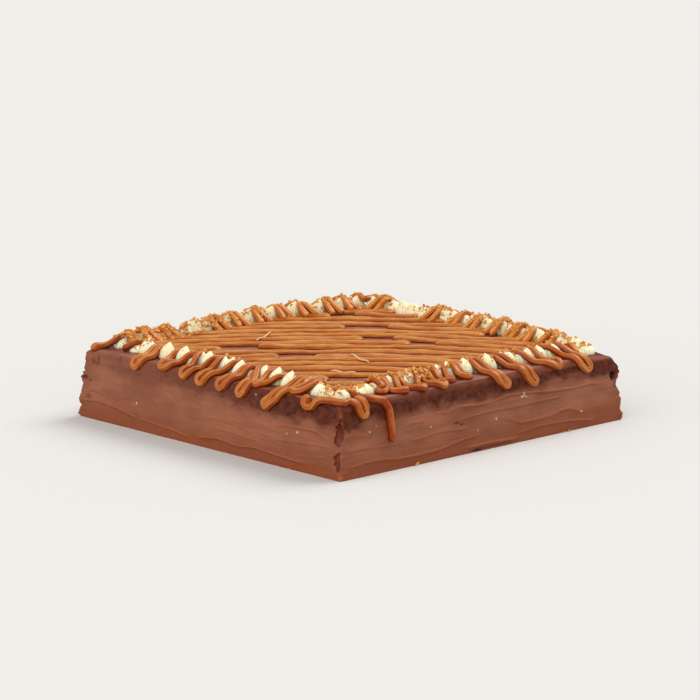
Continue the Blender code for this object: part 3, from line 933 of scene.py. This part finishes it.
def lay_strand(bm, start, stop, across, drift, seed):
    """One strand between two places along it, with round ends."""
    steps = max(6, round((stop - start) / STRAND_STEP))
    centres = []
    sizes = []
    for step in range(steps + 1):
        along = start + (stop - start) * step / steps
        waver = Vector((along * 16, seed * 3.1, 0.0))
        swing = across + STRAND_SWING * noise.noise(waver) + STRAND_TREMBLE * noise.noise(waver * 4)
        swing += drift * math.exp(-((along - start) / DRIFT_REACH) ** 2)
        point = strand_point(along, swing)
        swell = 1 + STRAND_SWELL * noise.noise(waver * 2.2 + UP * 5)
        swell += STRAND_BEADS * noise.noise(waver * 7 + UP * 9)
        swell *= round_end(min(along - start, stop - along), STRAND_WIDE * STRAND_BALL, STRAND_BLOB)
        sizes.append(swell)
        level = HEIGHT + STRAND_TALL * STRAND_PRESS * min(1.0, swell)
        centres.append(Vector((point.x, point.y, level)))

    def shape(step, turn):
        ridge = math.cos(STRAND_RIBS * turn + STRAND_ROLL * math.sin(step * 0.03 + seed))
        size = sizes[step] * (1 + STRAND_RIB_DEPTH * ridge)
        middle, top, rib = STRAND_PAINTED_LIGHT
        return STRAND_WIDE * size, STRAND_TALL * size, middle + top * math.sin(turn) + rib * ridge

    roll_up(bm, centres, [UP] * len(centres), STRAND_SIDES, shape)


def sauce_finish(name, deep, plain, pale):
    """A caramel finish, from its deepest tone, painted shade in the folds, to its palest, painted
    highlight on the crests.
    """
    sauce = Finish(name, "UV")
    along_grain = sauce.speckle(1.0, 3.0, (0.10, 16.0, 1.0), 0.6)
    sauce.places = sauce.tree.nodes.new("ShaderNodeTexCoord").outputs["Object"]
    pools = sauce.speckle(60.0, 3.0)
    flecks = sauce.speckle(700.0, 2.0)
    # painted light: paler on the crests and tops, deeper in the folds, varied by streaks and pools
    painted_light = sauce.plus(sauce.mark("ridge"), sauce.span(along_grain, 0.3, 0.7, -0.16, 0.16))
    painted_light = sauce.plus(painted_light, sauce.span(pools, 0.3, 0.7, -0.12, 0.12))
    tone = sauce.blend(sauce.span(painted_light, 0.25, 0.62), deep, plain)
    tone = sauce.blend(sauce.span(painted_light, 0.60, 0.98), tone, pale)
    tone = sauce.blend(sauce.span(painted_light, 1.40, 1.80), tone, THREAD_TONE)
    sauce.colour(tone)
    sauce.gloss(sauce.span(pools, 0.3, 0.7, 0.20, 0.32))
    ribbed = sauce.bump(along_grain, 0.0002, 0.5)
    sauce.bump(flecks, 0.00005, 0.3, ribbed)
    sauce.glow(0.12, (0.0024, 0.0009, 0.0003))
    sauce.shine(0.26)
    return sauce


field_sauce = sauce_finish("caramel_field", *FIELD_TONES)

strand_draw = random.Random(33)
bm = bmesh.new()
across = BACK_STRAND
index = 0
while across > FRONT_STRAND:
    start = strand_reach(across, -1)
    stop = strand_reach(across, 1)
    share = (BACK_STRAND - across) / (BACK_STRAND - FRONT_STRAND)
    pitch = BACK_PITCH + (FRONT_PITCH - BACK_PITCH) * share
    if stop - start > SHORTEST_STRAND:
        start += strand_draw.uniform(0.0, LOOSE_ENDS)
        stop -= strand_draw.uniform(0.0, LOOSE_ENDS)
        breaks = sorted(
            (end / 1000, restart / 1000) for place, end, restart in STRAND_BREAKS
            if abs(place / 1000 - across) < pitch / 2
        )
        starts = [start, *(restart for end, restart in breaks)]
        stops = [*(end for end, restart in breaks), stop]
        for part, (left, right) in enumerate(zip(starts, stops)):
            drift = strand_draw.choice((-1, 1)) * RESTART_DRIFT if part else 0.0
            if right - left > SHORTEST_PART:
                lay_strand(bm, left, right, across, drift, index * 2.0 + part)
    across -= pitch * strand_draw.uniform(0.90, 1.10)
    index += 1


def thread_shape(step, turn):
    out = THREAD_RADIUS * math.sqrt(max(0.0, 1 - (2 * step / THREAD_STEPS - 1) ** 4))
    return out, out, THREAD_PALE


for (first, first_across), (last, last_across) in THREADS:
    centres = []
    for step in range(THREAD_STEPS + 1):
        share = step / THREAD_STEPS
        point = strand_point((first + (last - first) * share) / 1000,
                             (first_across + (last_across - first_across) * share) / 1000)
        level = HEIGHT + THREAD_LEVEL + THREAD_SAG * math.sin(share * 9)
        centres.append(Vector((point.x, point.y, level)))
    roll_up(bm, centres, [UP] * len(centres), THREAD_SIDES, thread_shape)
field = new_piece("caramel_field", bm, field_sauce.material)
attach(field, "root")
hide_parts("caramel_line")

# ---- the caramel over the border --------------------------------------------------------
# A zigzag of the same sauce runs round the cake over the cream. Its legs lie between the
# kisses, and its narrow loops come to rest on the rim or hang down over it. Beside the front
# corner one strand has run down the side in a long smooth drip.

ROPE_RADIUS = 0.00192
ROPE_SIDES = 30
ROPE_RIBS = 6
ROPE_STEP = 0.0009
CURVE_STEP = 0.0004
ROPE_RIB_DEPTH = 0.07
ROPE_ROLL = 0.9
# painted light: shade in the folds, highlight on top and on the ribs
ROPE_PAINTED_LIGHT = (0.38, 0.44, 1.8)   # as for the strands, but on a rib as deep as a rope is thick
ROPE_PRESS = 0.62               # how high a rope's middle lies, as a share of its radius
FRONT_LIFT = 0.0050             # a rope presses down the tips that it lies on
BACK_LIFT = 0.0061
PROBE = 0.0013                  # beside a rope's middle line, where its underside is
PROBE_SPARE = 0.0006            # this much higher
CREST_THIN = 0.20               # how much thinner a rope is where it lies highest
ROPE_FALL = 0.62                # how steeply a rope comes down from a kiss
LEG_DEEP = 0.0024               # from a row's middle inward, to the end of a leg's straight
TURN_DEEP = 0.0059              # and to the turn in the field
BACK_LEG_DEEP = 0.0016
BACK_TURN_DEEP = 0.0130
ROPE_BALL = 1.3                 # how long a rope's round end is, as a share of its radius
ROPE_SWELL = 0.15               # how much a rope swells and thins, slowly and quickly
ROPE_BEADS = 0.07
TURN_ROUND = 0.0045             # legs that are further apart have a flat turn between them,
TURN_CORNER = 0.0015            # which starts and ends so far from the legs
LOOP_STEPS = 4                  # along the round turn at a loop's end
OUTER_TURN = 0.0020             # how far past its first and last leg a zigzag starts and ends
DROP_HEIGHT = 0.1               # well above all pieces


def fold_over(point):
    """Where a point of a level sheet comes to lie, and the way it faces there, when the sheet
    is laid on the top and folded down over the rim."""
    inner = Vector((clamp(point.x, INNER_HALF), clamp(point.y, INNER_HALF), HEIGHT - RIM_RADIUS))
    past = Vector((point.x - inner.x, point.y - inner.y, 0.0))
    reach = past.length
    if reach < 1e-9:
        return Vector((point.x, point.y, HEIGHT)), UP
    out = past / reach
    bend = min(reach / RIM_RADIUS, math.pi / 2)
    down = max(0.0, reach - RIM_RADIUS * math.pi / 2)
    facing = out * math.sin(bend) + UP * math.cos(bend)
    taper = (BASE_HALF - TOP_HALF) / HEIGHT * down
    return inner + facing * RIM_RADIUS + out * taper - UP * down, facing


def sheet_reach(hang):
    """How far over the edge of the level top a loop reaches that hangs so far below it."""
    if hang <= 0:
        return hang
    if hang < RIM_RADIUS:
        return RIM_RADIUS * math.acos(1 - hang / RIM_RADIUS)
    return RIM_RADIUS * math.pi / 2 + hang - RIM_RADIUS


def smooth_route(points, step):
    """Points at even steps along a smooth curve through the given ones."""
    padded = [2 * points[0] - points[1], *points, 2 * points[-1] - points[-2]]
    dense = []
    for first, start, end, last in zip(padded, padded[1:], padded[2:], padded[3:]):
        pieces = max(3, round((end - start).length / CURVE_STEP))
        for part in range(pieces):
            share = part / pieces
            square, cube = share * share, share ** 3
            dense.append(0.5 * (2 * start + (end - first) * share
                                + (2 * first - 5 * start + 4 * end - last) * square
                                + (3 * start - first - 3 * end + last) * cube))
    dense.append(points[-1])
    route = [dense[0]]
    left = step
    for here, there in zip(dense, dense[1:]):
        length = (there - here).length
        while length > 0 and left <= length:
            here = here + (there - here) * (left / length)
            length = (there - here).length
            route.append(here)
            left = step
        left -= length
    return route


def tree_of(pieces):
    """One search tree of the surfaces of all these pieces."""
    bm = bmesh.new()
    for piece in pieces:
        bm.from_mesh(piece.data)
    tree = BVHTree.FromBMesh(bm)
    bm.free()
    return tree


def fall_on(tree, x, y):
    """Where something that is dropped over this place lands on the pieces, if it does."""
    return tree.ray_cast(Vector((x, y, DROP_HEIGHT)), -UP)[0]


def ground_at(tree, point, aside):
    """How high a rope is held up over a point by what lies under its middle and its sides."""
    highest = 0.0
    for shift, spare in ((0.0, 0.0), (PROBE, PROBE_SPARE), (-PROBE, PROBE_SPARE)):
        hit = fall_on(tree, *(point.xy + aside * shift))
        if hit:
            highest = max(highest, hit.z - point.z - spare)
    return highest


def averaged(values, reach):
    """Each value as the mean of its neighbours within reach."""
    padded = np.pad(values, reach, mode="edge")
    return np.convolve(padded, np.ones(2 * reach + 1) / (2 * reach + 1), mode="valid")


def drape(points, tree, radius, highest):
    """Lay a rope along a route of the level sheet: its middle line, facings and thickness."""
    folded = [fold_over(point) for point in points]
    last = len(points) - 1
    lifts = []
    for step, (surface, _) in enumerate(folded):
        ahead = (points[min(step + 1, last)] - points[max(step - 1, 0)]).normalized()
        aside = Vector((-ahead.y, ahead.x))
        lifts.append(min(highest, ground_at(tree, surface, aside)))
    travelled = np.arange(len(lifts)) * ROPE_STEP
    held = np.array(lifts) - ROPE_FALL * np.abs(travelled[:, None] - travelled)
    lifts = averaged(averaged(held.max(axis=1), 2), 1)
    centres = []
    for (surface, facing), lift in zip(folded, lifts):
        centres.append(surface + facing * radius * ROPE_PRESS + UP * lift)
    return centres, [facing for _, facing in folded], 1 - CREST_THIN * lifts / highest


def squeeze_rope(bm, points, seed, under, highest=FRONT_LIFT, radius=ROPE_RADIUS,
                 ribs=ROPE_RIB_DEPTH, ends=1.0):
    """One rope of caramel along a route of the level sheet."""
    route = smooth_route(points, ROPE_STEP)
    centres, facings, thickness = drape(route, under, radius, highest)
    count = len(centres) - 1
    sizes = []
    for step in range(count + 1):
        swell = 1 + ROPE_SWELL * noise.noise(Vector((step * 0.05, seed, 0.0)))
        swell += ROPE_BEADS * noise.noise(Vector((step * 0.19, seed, 3.0)))
        swell *= round_end(min(step, count - step) * ROPE_STEP, radius * ROPE_BALL, ends)
        sizes.append(swell * radius * thickness[step])

    def shape(step, turn):
        ridge = math.cos(ROPE_RIBS * turn + ROPE_ROLL * math.sin(step * 0.021 + seed))
        out = sizes[step] * (1 + ribs * ridge)
        middle, top, rib = ROPE_PAINTED_LIGHT
        return out, out, middle + top * math.sin(turn) + rib * ribs * ridge

    roll_up(bm, centres, facings, ROPE_SIDES, shape)


def loop_end(end, rim, wide):
    """The round turn at a loop's outer end, as (along, reach) from one limb to the other."""
    heading = (end - rim).normalized()
    aside = Vector((-heading.y, heading.x))
    for step in range(LOOP_STEPS + 1):
        angle = math.pi * step / LOOP_STEPS
        yield end + aside * wide * math.cos(angle) + heading * wide * math.sin(angle)


def zigzag(side, lay, loops, leg_deep, turn_deep, start=()):
    """A zigzag's route: out along a leg, round the loop's end, back, and on to the next."""
    points = list(start)
    previous = points[-1][0] if points else None
    for place, hang, wide, left, left_rim, right_rim, right, rim_reach in loops:
        row_left, row_right = row_reach(side, left), row_reach(side, right)
        foot = sheet_reach(hang) - ROPE_RADIUS - wide
        if previous is None:
            points.append((left - OUTER_TURN, row_left - turn_deep))
        elif left - previous > TURN_ROUND:
            points.append((previous + TURN_CORNER, row_left - turn_deep))
            points.append((left - TURN_CORNER, row_left - turn_deep))
        else:
            points.append(((previous + left) / 2, row_left - turn_deep))
        points += [(left, row_left - leg_deep), (left, row_left), (left_rim, rim_reach)]
        rim = Vector(((left_rim + right_rim) / 2, rim_reach))
        points += [tuple(point) for point in loop_end(Vector((place, foot)), rim, wide)]
        points += [(right_rim, rim_reach), (right, row_right), (right, row_right - leg_deep)]
        previous = right
    points.append((previous + OUTER_TURN, row_reach(side, previous) - turn_deep))
    return [lay(*point) for point in points]


# The loops that show, in millimetres: place along the side, hang below the top and half width
# of the loop's end, places of the left leg at the row and at the rim and of the right leg at
# the rim and at the row, and how far past the level edge the two places at the rim are.
FRONT_LEFT_LOOPS = (
    (41.4, 5.6, 2.1, 38.8, 41.5, 45.9, 43.8, 0), (63.5, 3.4, 3.0, 56.5, 59.2, 68, 68.3, 0),
    (80.5, 4.6, 1.9, 74.5, 79.9, 85.5, 86.4, 0), (94, 6.1, 1.9, 92, 94.6, 99.8, 102.8, 0),
    (109.8, 6, 1.7, 111.3, 112.3, 116.2, 114.9, 0), (125.3, 7.2, 1.65, 119.2, 126.2, 130.4, 122.4, 0),
    (134.5, 1.6, 1.7, 130.8, 132.8, 138.0, 141.6, -3.5), (145.2, 10, 1.55, 154.6, 153, 157, 158.2, 0),
    (161.5, 0.6, 1.6, 164.6, 164.4, 168.2, 168, -6),
)
FRONT_RIGHT_LOOPS = (
    (35.5, -2, 1.6, 36.8, 36.8, 40.2, 40.2, -6), (46.5, 0.9, 1.6, 43.4, 40.6, 45.4, 50.2, -2.5),
    (58.5, 1.6, 1.6, 51.4, 52.2, 58.6, 65, -2.5), (72, 2.4, 1.8, 68.2, 65.2, 70.4, 73.6, -3),
    (80.6, 0.3, 1.6, 78.4, 76.2, 80.6, 84.8, -3.5), (92.9, 0.3, 1.6, 91, 88.8, 93, 95.2, -4),
    (115.7, 8.1, 1.5, 105.8, 107.4, 111.2, 109.6, 0), (135.9, 9.6, 1.5, 122.3, 127.9, 131.7, 126.2, 0),
    (155.6, 3.9, 1.8, 139.8, 144, 150.2, 150, -2), (177.2, 8.2, 1.9, 159.5, 168, 173.6, 169.5, 0),
)
# where the front left zigzag starts, with a blob on the top beside the left corner
FRONT_LEFT_START = ((17.4, -7.2), (20.6, -7.8), (23.4, -10.2), (24.8, -13.8))
# the strand that starts on the left corner
LEFT_STRAND = ((4.2, 2.8), (4.4, -0.4), (5.4, -3.9), (8, -6.9), (9.6, -10.4), (10.2, -15.0))
# the strand round the front corner: its places on the front left and the front right side
FRONT_STRAND_LEFT = (
    (176.5, 1.0), (174.5, 2.8), (176.0, 4.4), (179.2, 4.2), (183.0, 1.6), (190.0, 0.4), (196.7, -0.1),
)
FRONT_STRAND_RIGHT = (
    (7.0, 0.2), (10.0, 2.2), (11.8, 6.0), (13.4, 7.8), (15.4, 7.0), (15.2, 3.6), (13.4, 1.0),
    (10.8, -0.4),
)
# one more leg, which runs into the upper limb of the last front right loop
LAST_LEG = ((176, -17.0), (178, -12.5), (178, -9.5), (176.6, -3.9), (177.6, -1.0))
DRIP = (
    (18.8, -12.0), (18.6, -8.0), (18.2, -3.6), (18.6, -0.8), (20.5, 1.0), (24.0, 1.9), (27.8, 3.0),
    (30.8, 6.0), (31.8, 11.0), (32.2, 18.0), (32.5, 24.3),
)
DRIP_RADIUS = 0.00212
DRIP_RIB_DEPTH = 0.012          # it has run smooth
# On the back sides each loop's two limbs lie side by side over the kisses: their places.
BACK_RIGHT_BANDS = (32, 47, 60, 76, 92, 107, 125, 168)
BACK_LEFT_BANDS = (10, 24, 38, 55, 70, 87, 103, 117, 152, 167, 179)
BACK_HANGS = (0.5, 1.5, 3.5, 5.0, 6.0, 7.5, 9.0)
BACK_SWING = (-1.5, 2.5)        # how far a loop's end is beside its band
BACK_WIDES = (1.6, 2.2)
LIMB_SHIFT = 1.45               # of a limb from its band's middle, over the kisses
RIM_SHIFT = 1.9                 # and at the rim
BACK_RIM_REACH = -0.5


def guessed_loops(bands, draw):
    """Loops of a back side, as uneven as the seen ones."""
    for band in bands:
        hang = draw.choice(BACK_HANGS)
        place = band + draw.uniform(*BACK_SWING)
        rim = (place + band) / 2
        wide = draw.uniform(*BACK_WIDES)
        yield (place, hang, wide, band - LIMB_SHIFT, rim - RIM_SHIFT, rim + RIM_SHIFT,
               band + LIMB_SHIFT, BACK_RIM_REACH)


def metres(rows):
    return [tuple(value / 1000 for value in row) for row in rows]


def laid(lay, points):
    """Points of the top, from their places in millimetres along a side and past its edge."""
    return [lay(*point) for point in metres(points)]


# each sauce's tones run from painted shade in the folds to painted highlight on the crests
ROPE_TONES = (srgb(128, 46, 0), srgb(168, 83, 17), srgb(194, 122, 62))
# on the back sides the strands are painted paler, as painted light for the light they lack
BACK_LIGHT_TONES = (srgb(166, 80, 12), srgb(190, 108, 34), srgb(216, 150, 84))
DRIP_TONES = (srgb(124, 40, 0), srgb(142, 53, 4), srgb(180, 98, 36))
back_light_sauce = sauce_finish("caramel_dusted", *BACK_LIGHT_TONES)
rope_sauce = sauce_finish("caramel", *ROPE_TONES)
rope_draw = random.Random(44)
ground = tree_of([field, *kiss_pieces])
# on the back sides the loops' ends sink in between the strands
kisses_alone = tree_of(kiss_pieces)
LOOPS = {
    "front_left": FRONT_LEFT_LOOPS, "front_right": FRONT_RIGHT_LOOPS,
    "back_right": guessed_loops(BACK_RIGHT_BANDS, rope_draw),
    "back_left": guessed_loops(BACK_LEFT_BANDS, rope_draw),
}
rope_pieces = []
for seed, (side, lay, _) in enumerate(ROWS):
    bm = bmesh.new()
    start = metres(FRONT_LEFT_START) if side == "front_left" else ()
    if side.startswith("front"):
        route = zigzag(side, lay, metres(LOOPS[side]), LEG_DEEP, TURN_DEEP, start)
        squeeze_rope(bm, route, seed * 5.0, ground)
    else:
        for index, loop in enumerate(metres(LOOPS[side])):
            route = zigzag(side, lay, [loop], BACK_LEG_DEEP, BACK_TURN_DEEP)
            squeeze_rope(bm, route, seed * 5.0 + index * 1.7, kisses_alone, BACK_LIFT)
    if side == "front_left":
        squeeze_rope(bm, laid(lay, LEFT_STRAND), 2.0, ground, ends=1.25)
        front_strand = laid(lay, FRONT_STRAND_LEFT) + laid(on_front_right, FRONT_STRAND_RIGHT)
        squeeze_rope(bm, front_strand, 7.0, ground, ends=1.5)
    if side == "front_right":
        squeeze_rope(bm, laid(lay, LAST_LEG), 3.0, ground)
    finish = back_light_sauce if side.startswith("back") else rope_sauce
    piece = new_piece("caramel_border_" + side, bm, finish.material)
    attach(piece, "root")
    rope_pieces.append(piece)

drip_sauce = sauce_finish("caramel_drip", *DRIP_TONES)
bm = bmesh.new()
squeeze_rope(bm, laid(on_front_right, DRIP), 11.0, ground, radius=DRIP_RADIUS,
             ribs=DRIP_RIB_DEPTH, ends=1.08)
drip = new_piece("caramel_drip", bm, drip_sauce.material)
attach(drip, "root")
rope_pieces.append(drip)

# ---- the crumbs -------------------------------------------------------------------------
# Golden baked crumbs, sprinkled by hand over the border while the caramel was wet. They lie
# thickest behind the kisses and in the folds of the caramel, and a few have rolled to the foot.

CRUMB_SIZES = (0.00035, 0.0012)
FOOT_CRUMB_SHARE = 0.95         # the size of the ones at the foot, as a share of the others'
CRUMB_PERCH = 0.35              # how high a crumb's middle lies, as a share of its size
CRUMB_LIMIT = 0.0005            # how far past the level edge the outermost one lies
CRUMB_DENTS = (0.62, 1.25)
# On each side, in millimetres: the stretch of it, how far inward of the kisses' middles they
# lie, how wide they spread, and how many there are.
CRUMB_HEAPS = {
    "front_left": ((6, 34, 3.5, 3.5, 190), (34, 190, 4.5, 3.2, 210)),
    "front_right": ((6, 26, 4.0, 3.5, 130), (26, 50, 3.5, 3.0, 90), (50, 73, 0.5, 3.0, 280),
                    (73, 95, 3.0, 3.0, 90), (95, 190, 4.0, 3.5, 210)),
    "back_right": ((20, 38, 0.5, 3.0, 110), (50, 62, 0.5, 3.0, 80), (64, 84, 0.5, 3.0, 120),
                   (86, 100, 0.5, 3.0, 90), (112, 142, 0.5, 3.0, 150), (160, 172, 0.5, 3.0, 60),
                   (10, 190, 2.5, 4.0, 200)),
    "back_left": ((26, 46, 0.5, 2.5, 90), (80, 94, 0.5, 2.5, 80), (104, 132, 2.0, 3.5, 330),
                  (137, 160, 2.0, 3.5, 260), (158, 178, 2.0, 3.5, 210), (10, 190, 1.5, 4.0, 200)),
}
# crumbs at the foot, in millimetres along each front side
FOOT_CRUMBS = (
    (on_front_left, (155.6, 158, 166)), (on_front_right, (48, 49.2, 155, 157.4, 161, 163, 166.5)),
)
CRUMB_DEEP = srgb(192, 112, 34)
CRUMB_PALE = srgb(230, 166, 80)
CRUMB_GLINT_TONE = srgb(236, 184, 110)
crumb_finish = Finish("biscuit_crumbs")
crumb_tone = crumb_finish.speckle(420.0, 2.0)
crumb_grain = crumb_finish.speckle(2600.0, 2.0)
crumb_colour = crumb_finish.blend(crumb_finish.span(crumb_tone, 0.3, 0.7), CRUMB_DEEP, CRUMB_PALE)
crumb_glints = crumb_finish.span(crumb_grain, 0.35, 0.65, 0.0, 0.35)
crumb_finish.colour(crumb_finish.blend(crumb_glints, crumb_colour, CRUMB_GLINT_TONE))
crumb_finish.gloss(0.75)
crumb_finish.bump(crumb_grain, 0.0001, 0.6)


def add_crumb(bm, place, size, draw):
    """An angular crumb: a coarse ball, stretched, turned and dented."""
    made = bmesh.ops.create_icosphere(bm, subdivisions=1, radius=size)["verts"]
    for vert in made:
        vert.co *= draw.uniform(*CRUMB_DENTS)
    stretch = (draw.uniform(0.8, 1.4), draw.uniform(0.7, 1.1), draw.uniform(0.6, 1.0))
    bmesh.ops.scale(bm, vec=stretch, verts=made)
    axis = (draw.random(), draw.random(), draw.random() + 0.1)
    bmesh.ops.rotate(bm, matrix=Matrix.Rotation(draw.uniform(0, math.tau), 3, axis), verts=made)
    bmesh.ops.translate(bm, vec=place, verts=made)
    return made


def crumb_size(draw):
    low, high = CRUMB_SIZES
    return low + (high - low) * draw.random() ** 2.0


crumb_draw = random.Random(55)
surface = tree_of([cake, field, *kiss_pieces, *rope_pieces])
bm = bmesh.new()
for side, lay, _ in ROWS:
    for low, high, behind, spread, count in CRUMB_HEAPS[side]:
        heap = bmesh.new()
        for _ in range(count):
            along = crumb_draw.uniform(low, high) / 1000
            reach = row_reach(side, along) - crumb_draw.gauss(behind, spread) / 1000
            hit = fall_on(surface, *lay(along, min(reach, CRUMB_LIMIT)))
            size = crumb_size(crumb_draw)
            add_crumb(heap, hit + UP * size * CRUMB_PERCH, size, crumb_draw)
        heap_mesh = bpy.data.meshes.new("heap")
        heap.to_mesh(heap_mesh)
        heap.free()
        bm.from_mesh(heap_mesh)
        bpy.data.meshes.remove(heap_mesh)
for lay, alongs in FOOT_CRUMBS:
    for along in alongs:
        size = crumb_size(crumb_draw) * FOOT_CRUMB_SHARE
        point = lay(along / 1000, BASE_HALF - INNER_HALF + size)
        made = add_crumb(bm, Vector((point.x, point.y, size)), size, crumb_draw)
        lowest = min(vert.co.z for vert in made)
        bmesh.ops.translate(bm, vec=-UP * lowest, verts=made)
crumbs = new_piece("crumbs", bm, crumb_finish.material)
crumbs.data.shade_flat()
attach(crumbs, "root")

# ---- the cream specks on the coat -------------------------------------------------------
# Small specks of cream that were smeared flat into the coat with the spatula. They are paler
# than the coat and stand out from it by a few tenths of a millimetre.

# place along the side, height and radius, in millimetres
FRONT_LEFT_SPECKS = ((165.2, 17.6, 0.6), (172.6, 19.4, 0.7), (46.7, 14.2, 0.7), (139.7, 33.4, 0.5))
FRONT_RIGHT_SPECKS = (
    (21.5, 21.7, 0.7), (64.0, 17.8, 0.5), (130.6, 23.6, 0.8), (132.2, 24.4, 0.9), (133.4, 23.2, 0.6),
    (131.6, 25.6, 0.5), (111.4, 14.7, 0.7), (174.5, 9.3, 0.8), (26.4, 24.0, 0.4), (97.0, 11.0, 0.35),
)
SPECK_FLATNESS = 0.4
SPECK_START = 0.05              # how far out the search for its place on the coat starts
SPECK_DEEP = srgb(176, 136, 112)
SPECK_PALE = srgb(212, 182, 154)
speck_finish = Finish("smeared_cream")
speck_tone = speck_finish.speckle(1200.0, 2.0)
speck_share = speck_finish.span(speck_tone, 0.3, 0.7)
speck_finish.colour(speck_finish.blend(speck_share, SPECK_DEEP, SPECK_PALE))
speck_finish.gloss(0.5)
speck_finish.bump(speck_tone, 0.0001, 0.4)
bm = bmesh.new()
speck_draw = random.Random(8)
for lay, specks in ((on_front_left, FRONT_LEFT_SPECKS), (on_front_right, FRONT_RIGHT_SPECKS)):
    for along, height, radius in specks:
        place = along / 1000 + TOP_HALF - BASE_HALF
        far = lay(place, SPECK_START).to_3d()
        inward = (lay(place, 0.0).to_3d() - far).normalized()
        hit, facing = surface.ray_cast(far + UP * height / 1000, inward)[:2]
        made = bmesh.ops.create_icosphere(bm, subdivisions=2, radius=radius / 1000)["verts"]
        bmesh.ops.scale(bm, vec=(speck_draw.uniform(0.8, 1.4), 1.0, SPECK_FLATNESS), verts=made)
        turn = facing.to_track_quat("Z", "Y").to_matrix()
        bmesh.ops.rotate(bm, matrix=turn, verts=made)
        bmesh.ops.translate(bm, vec=hit, verts=made)
specks = new_piece("cream_specks", bm, speck_finish.material)
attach(specks, "root")
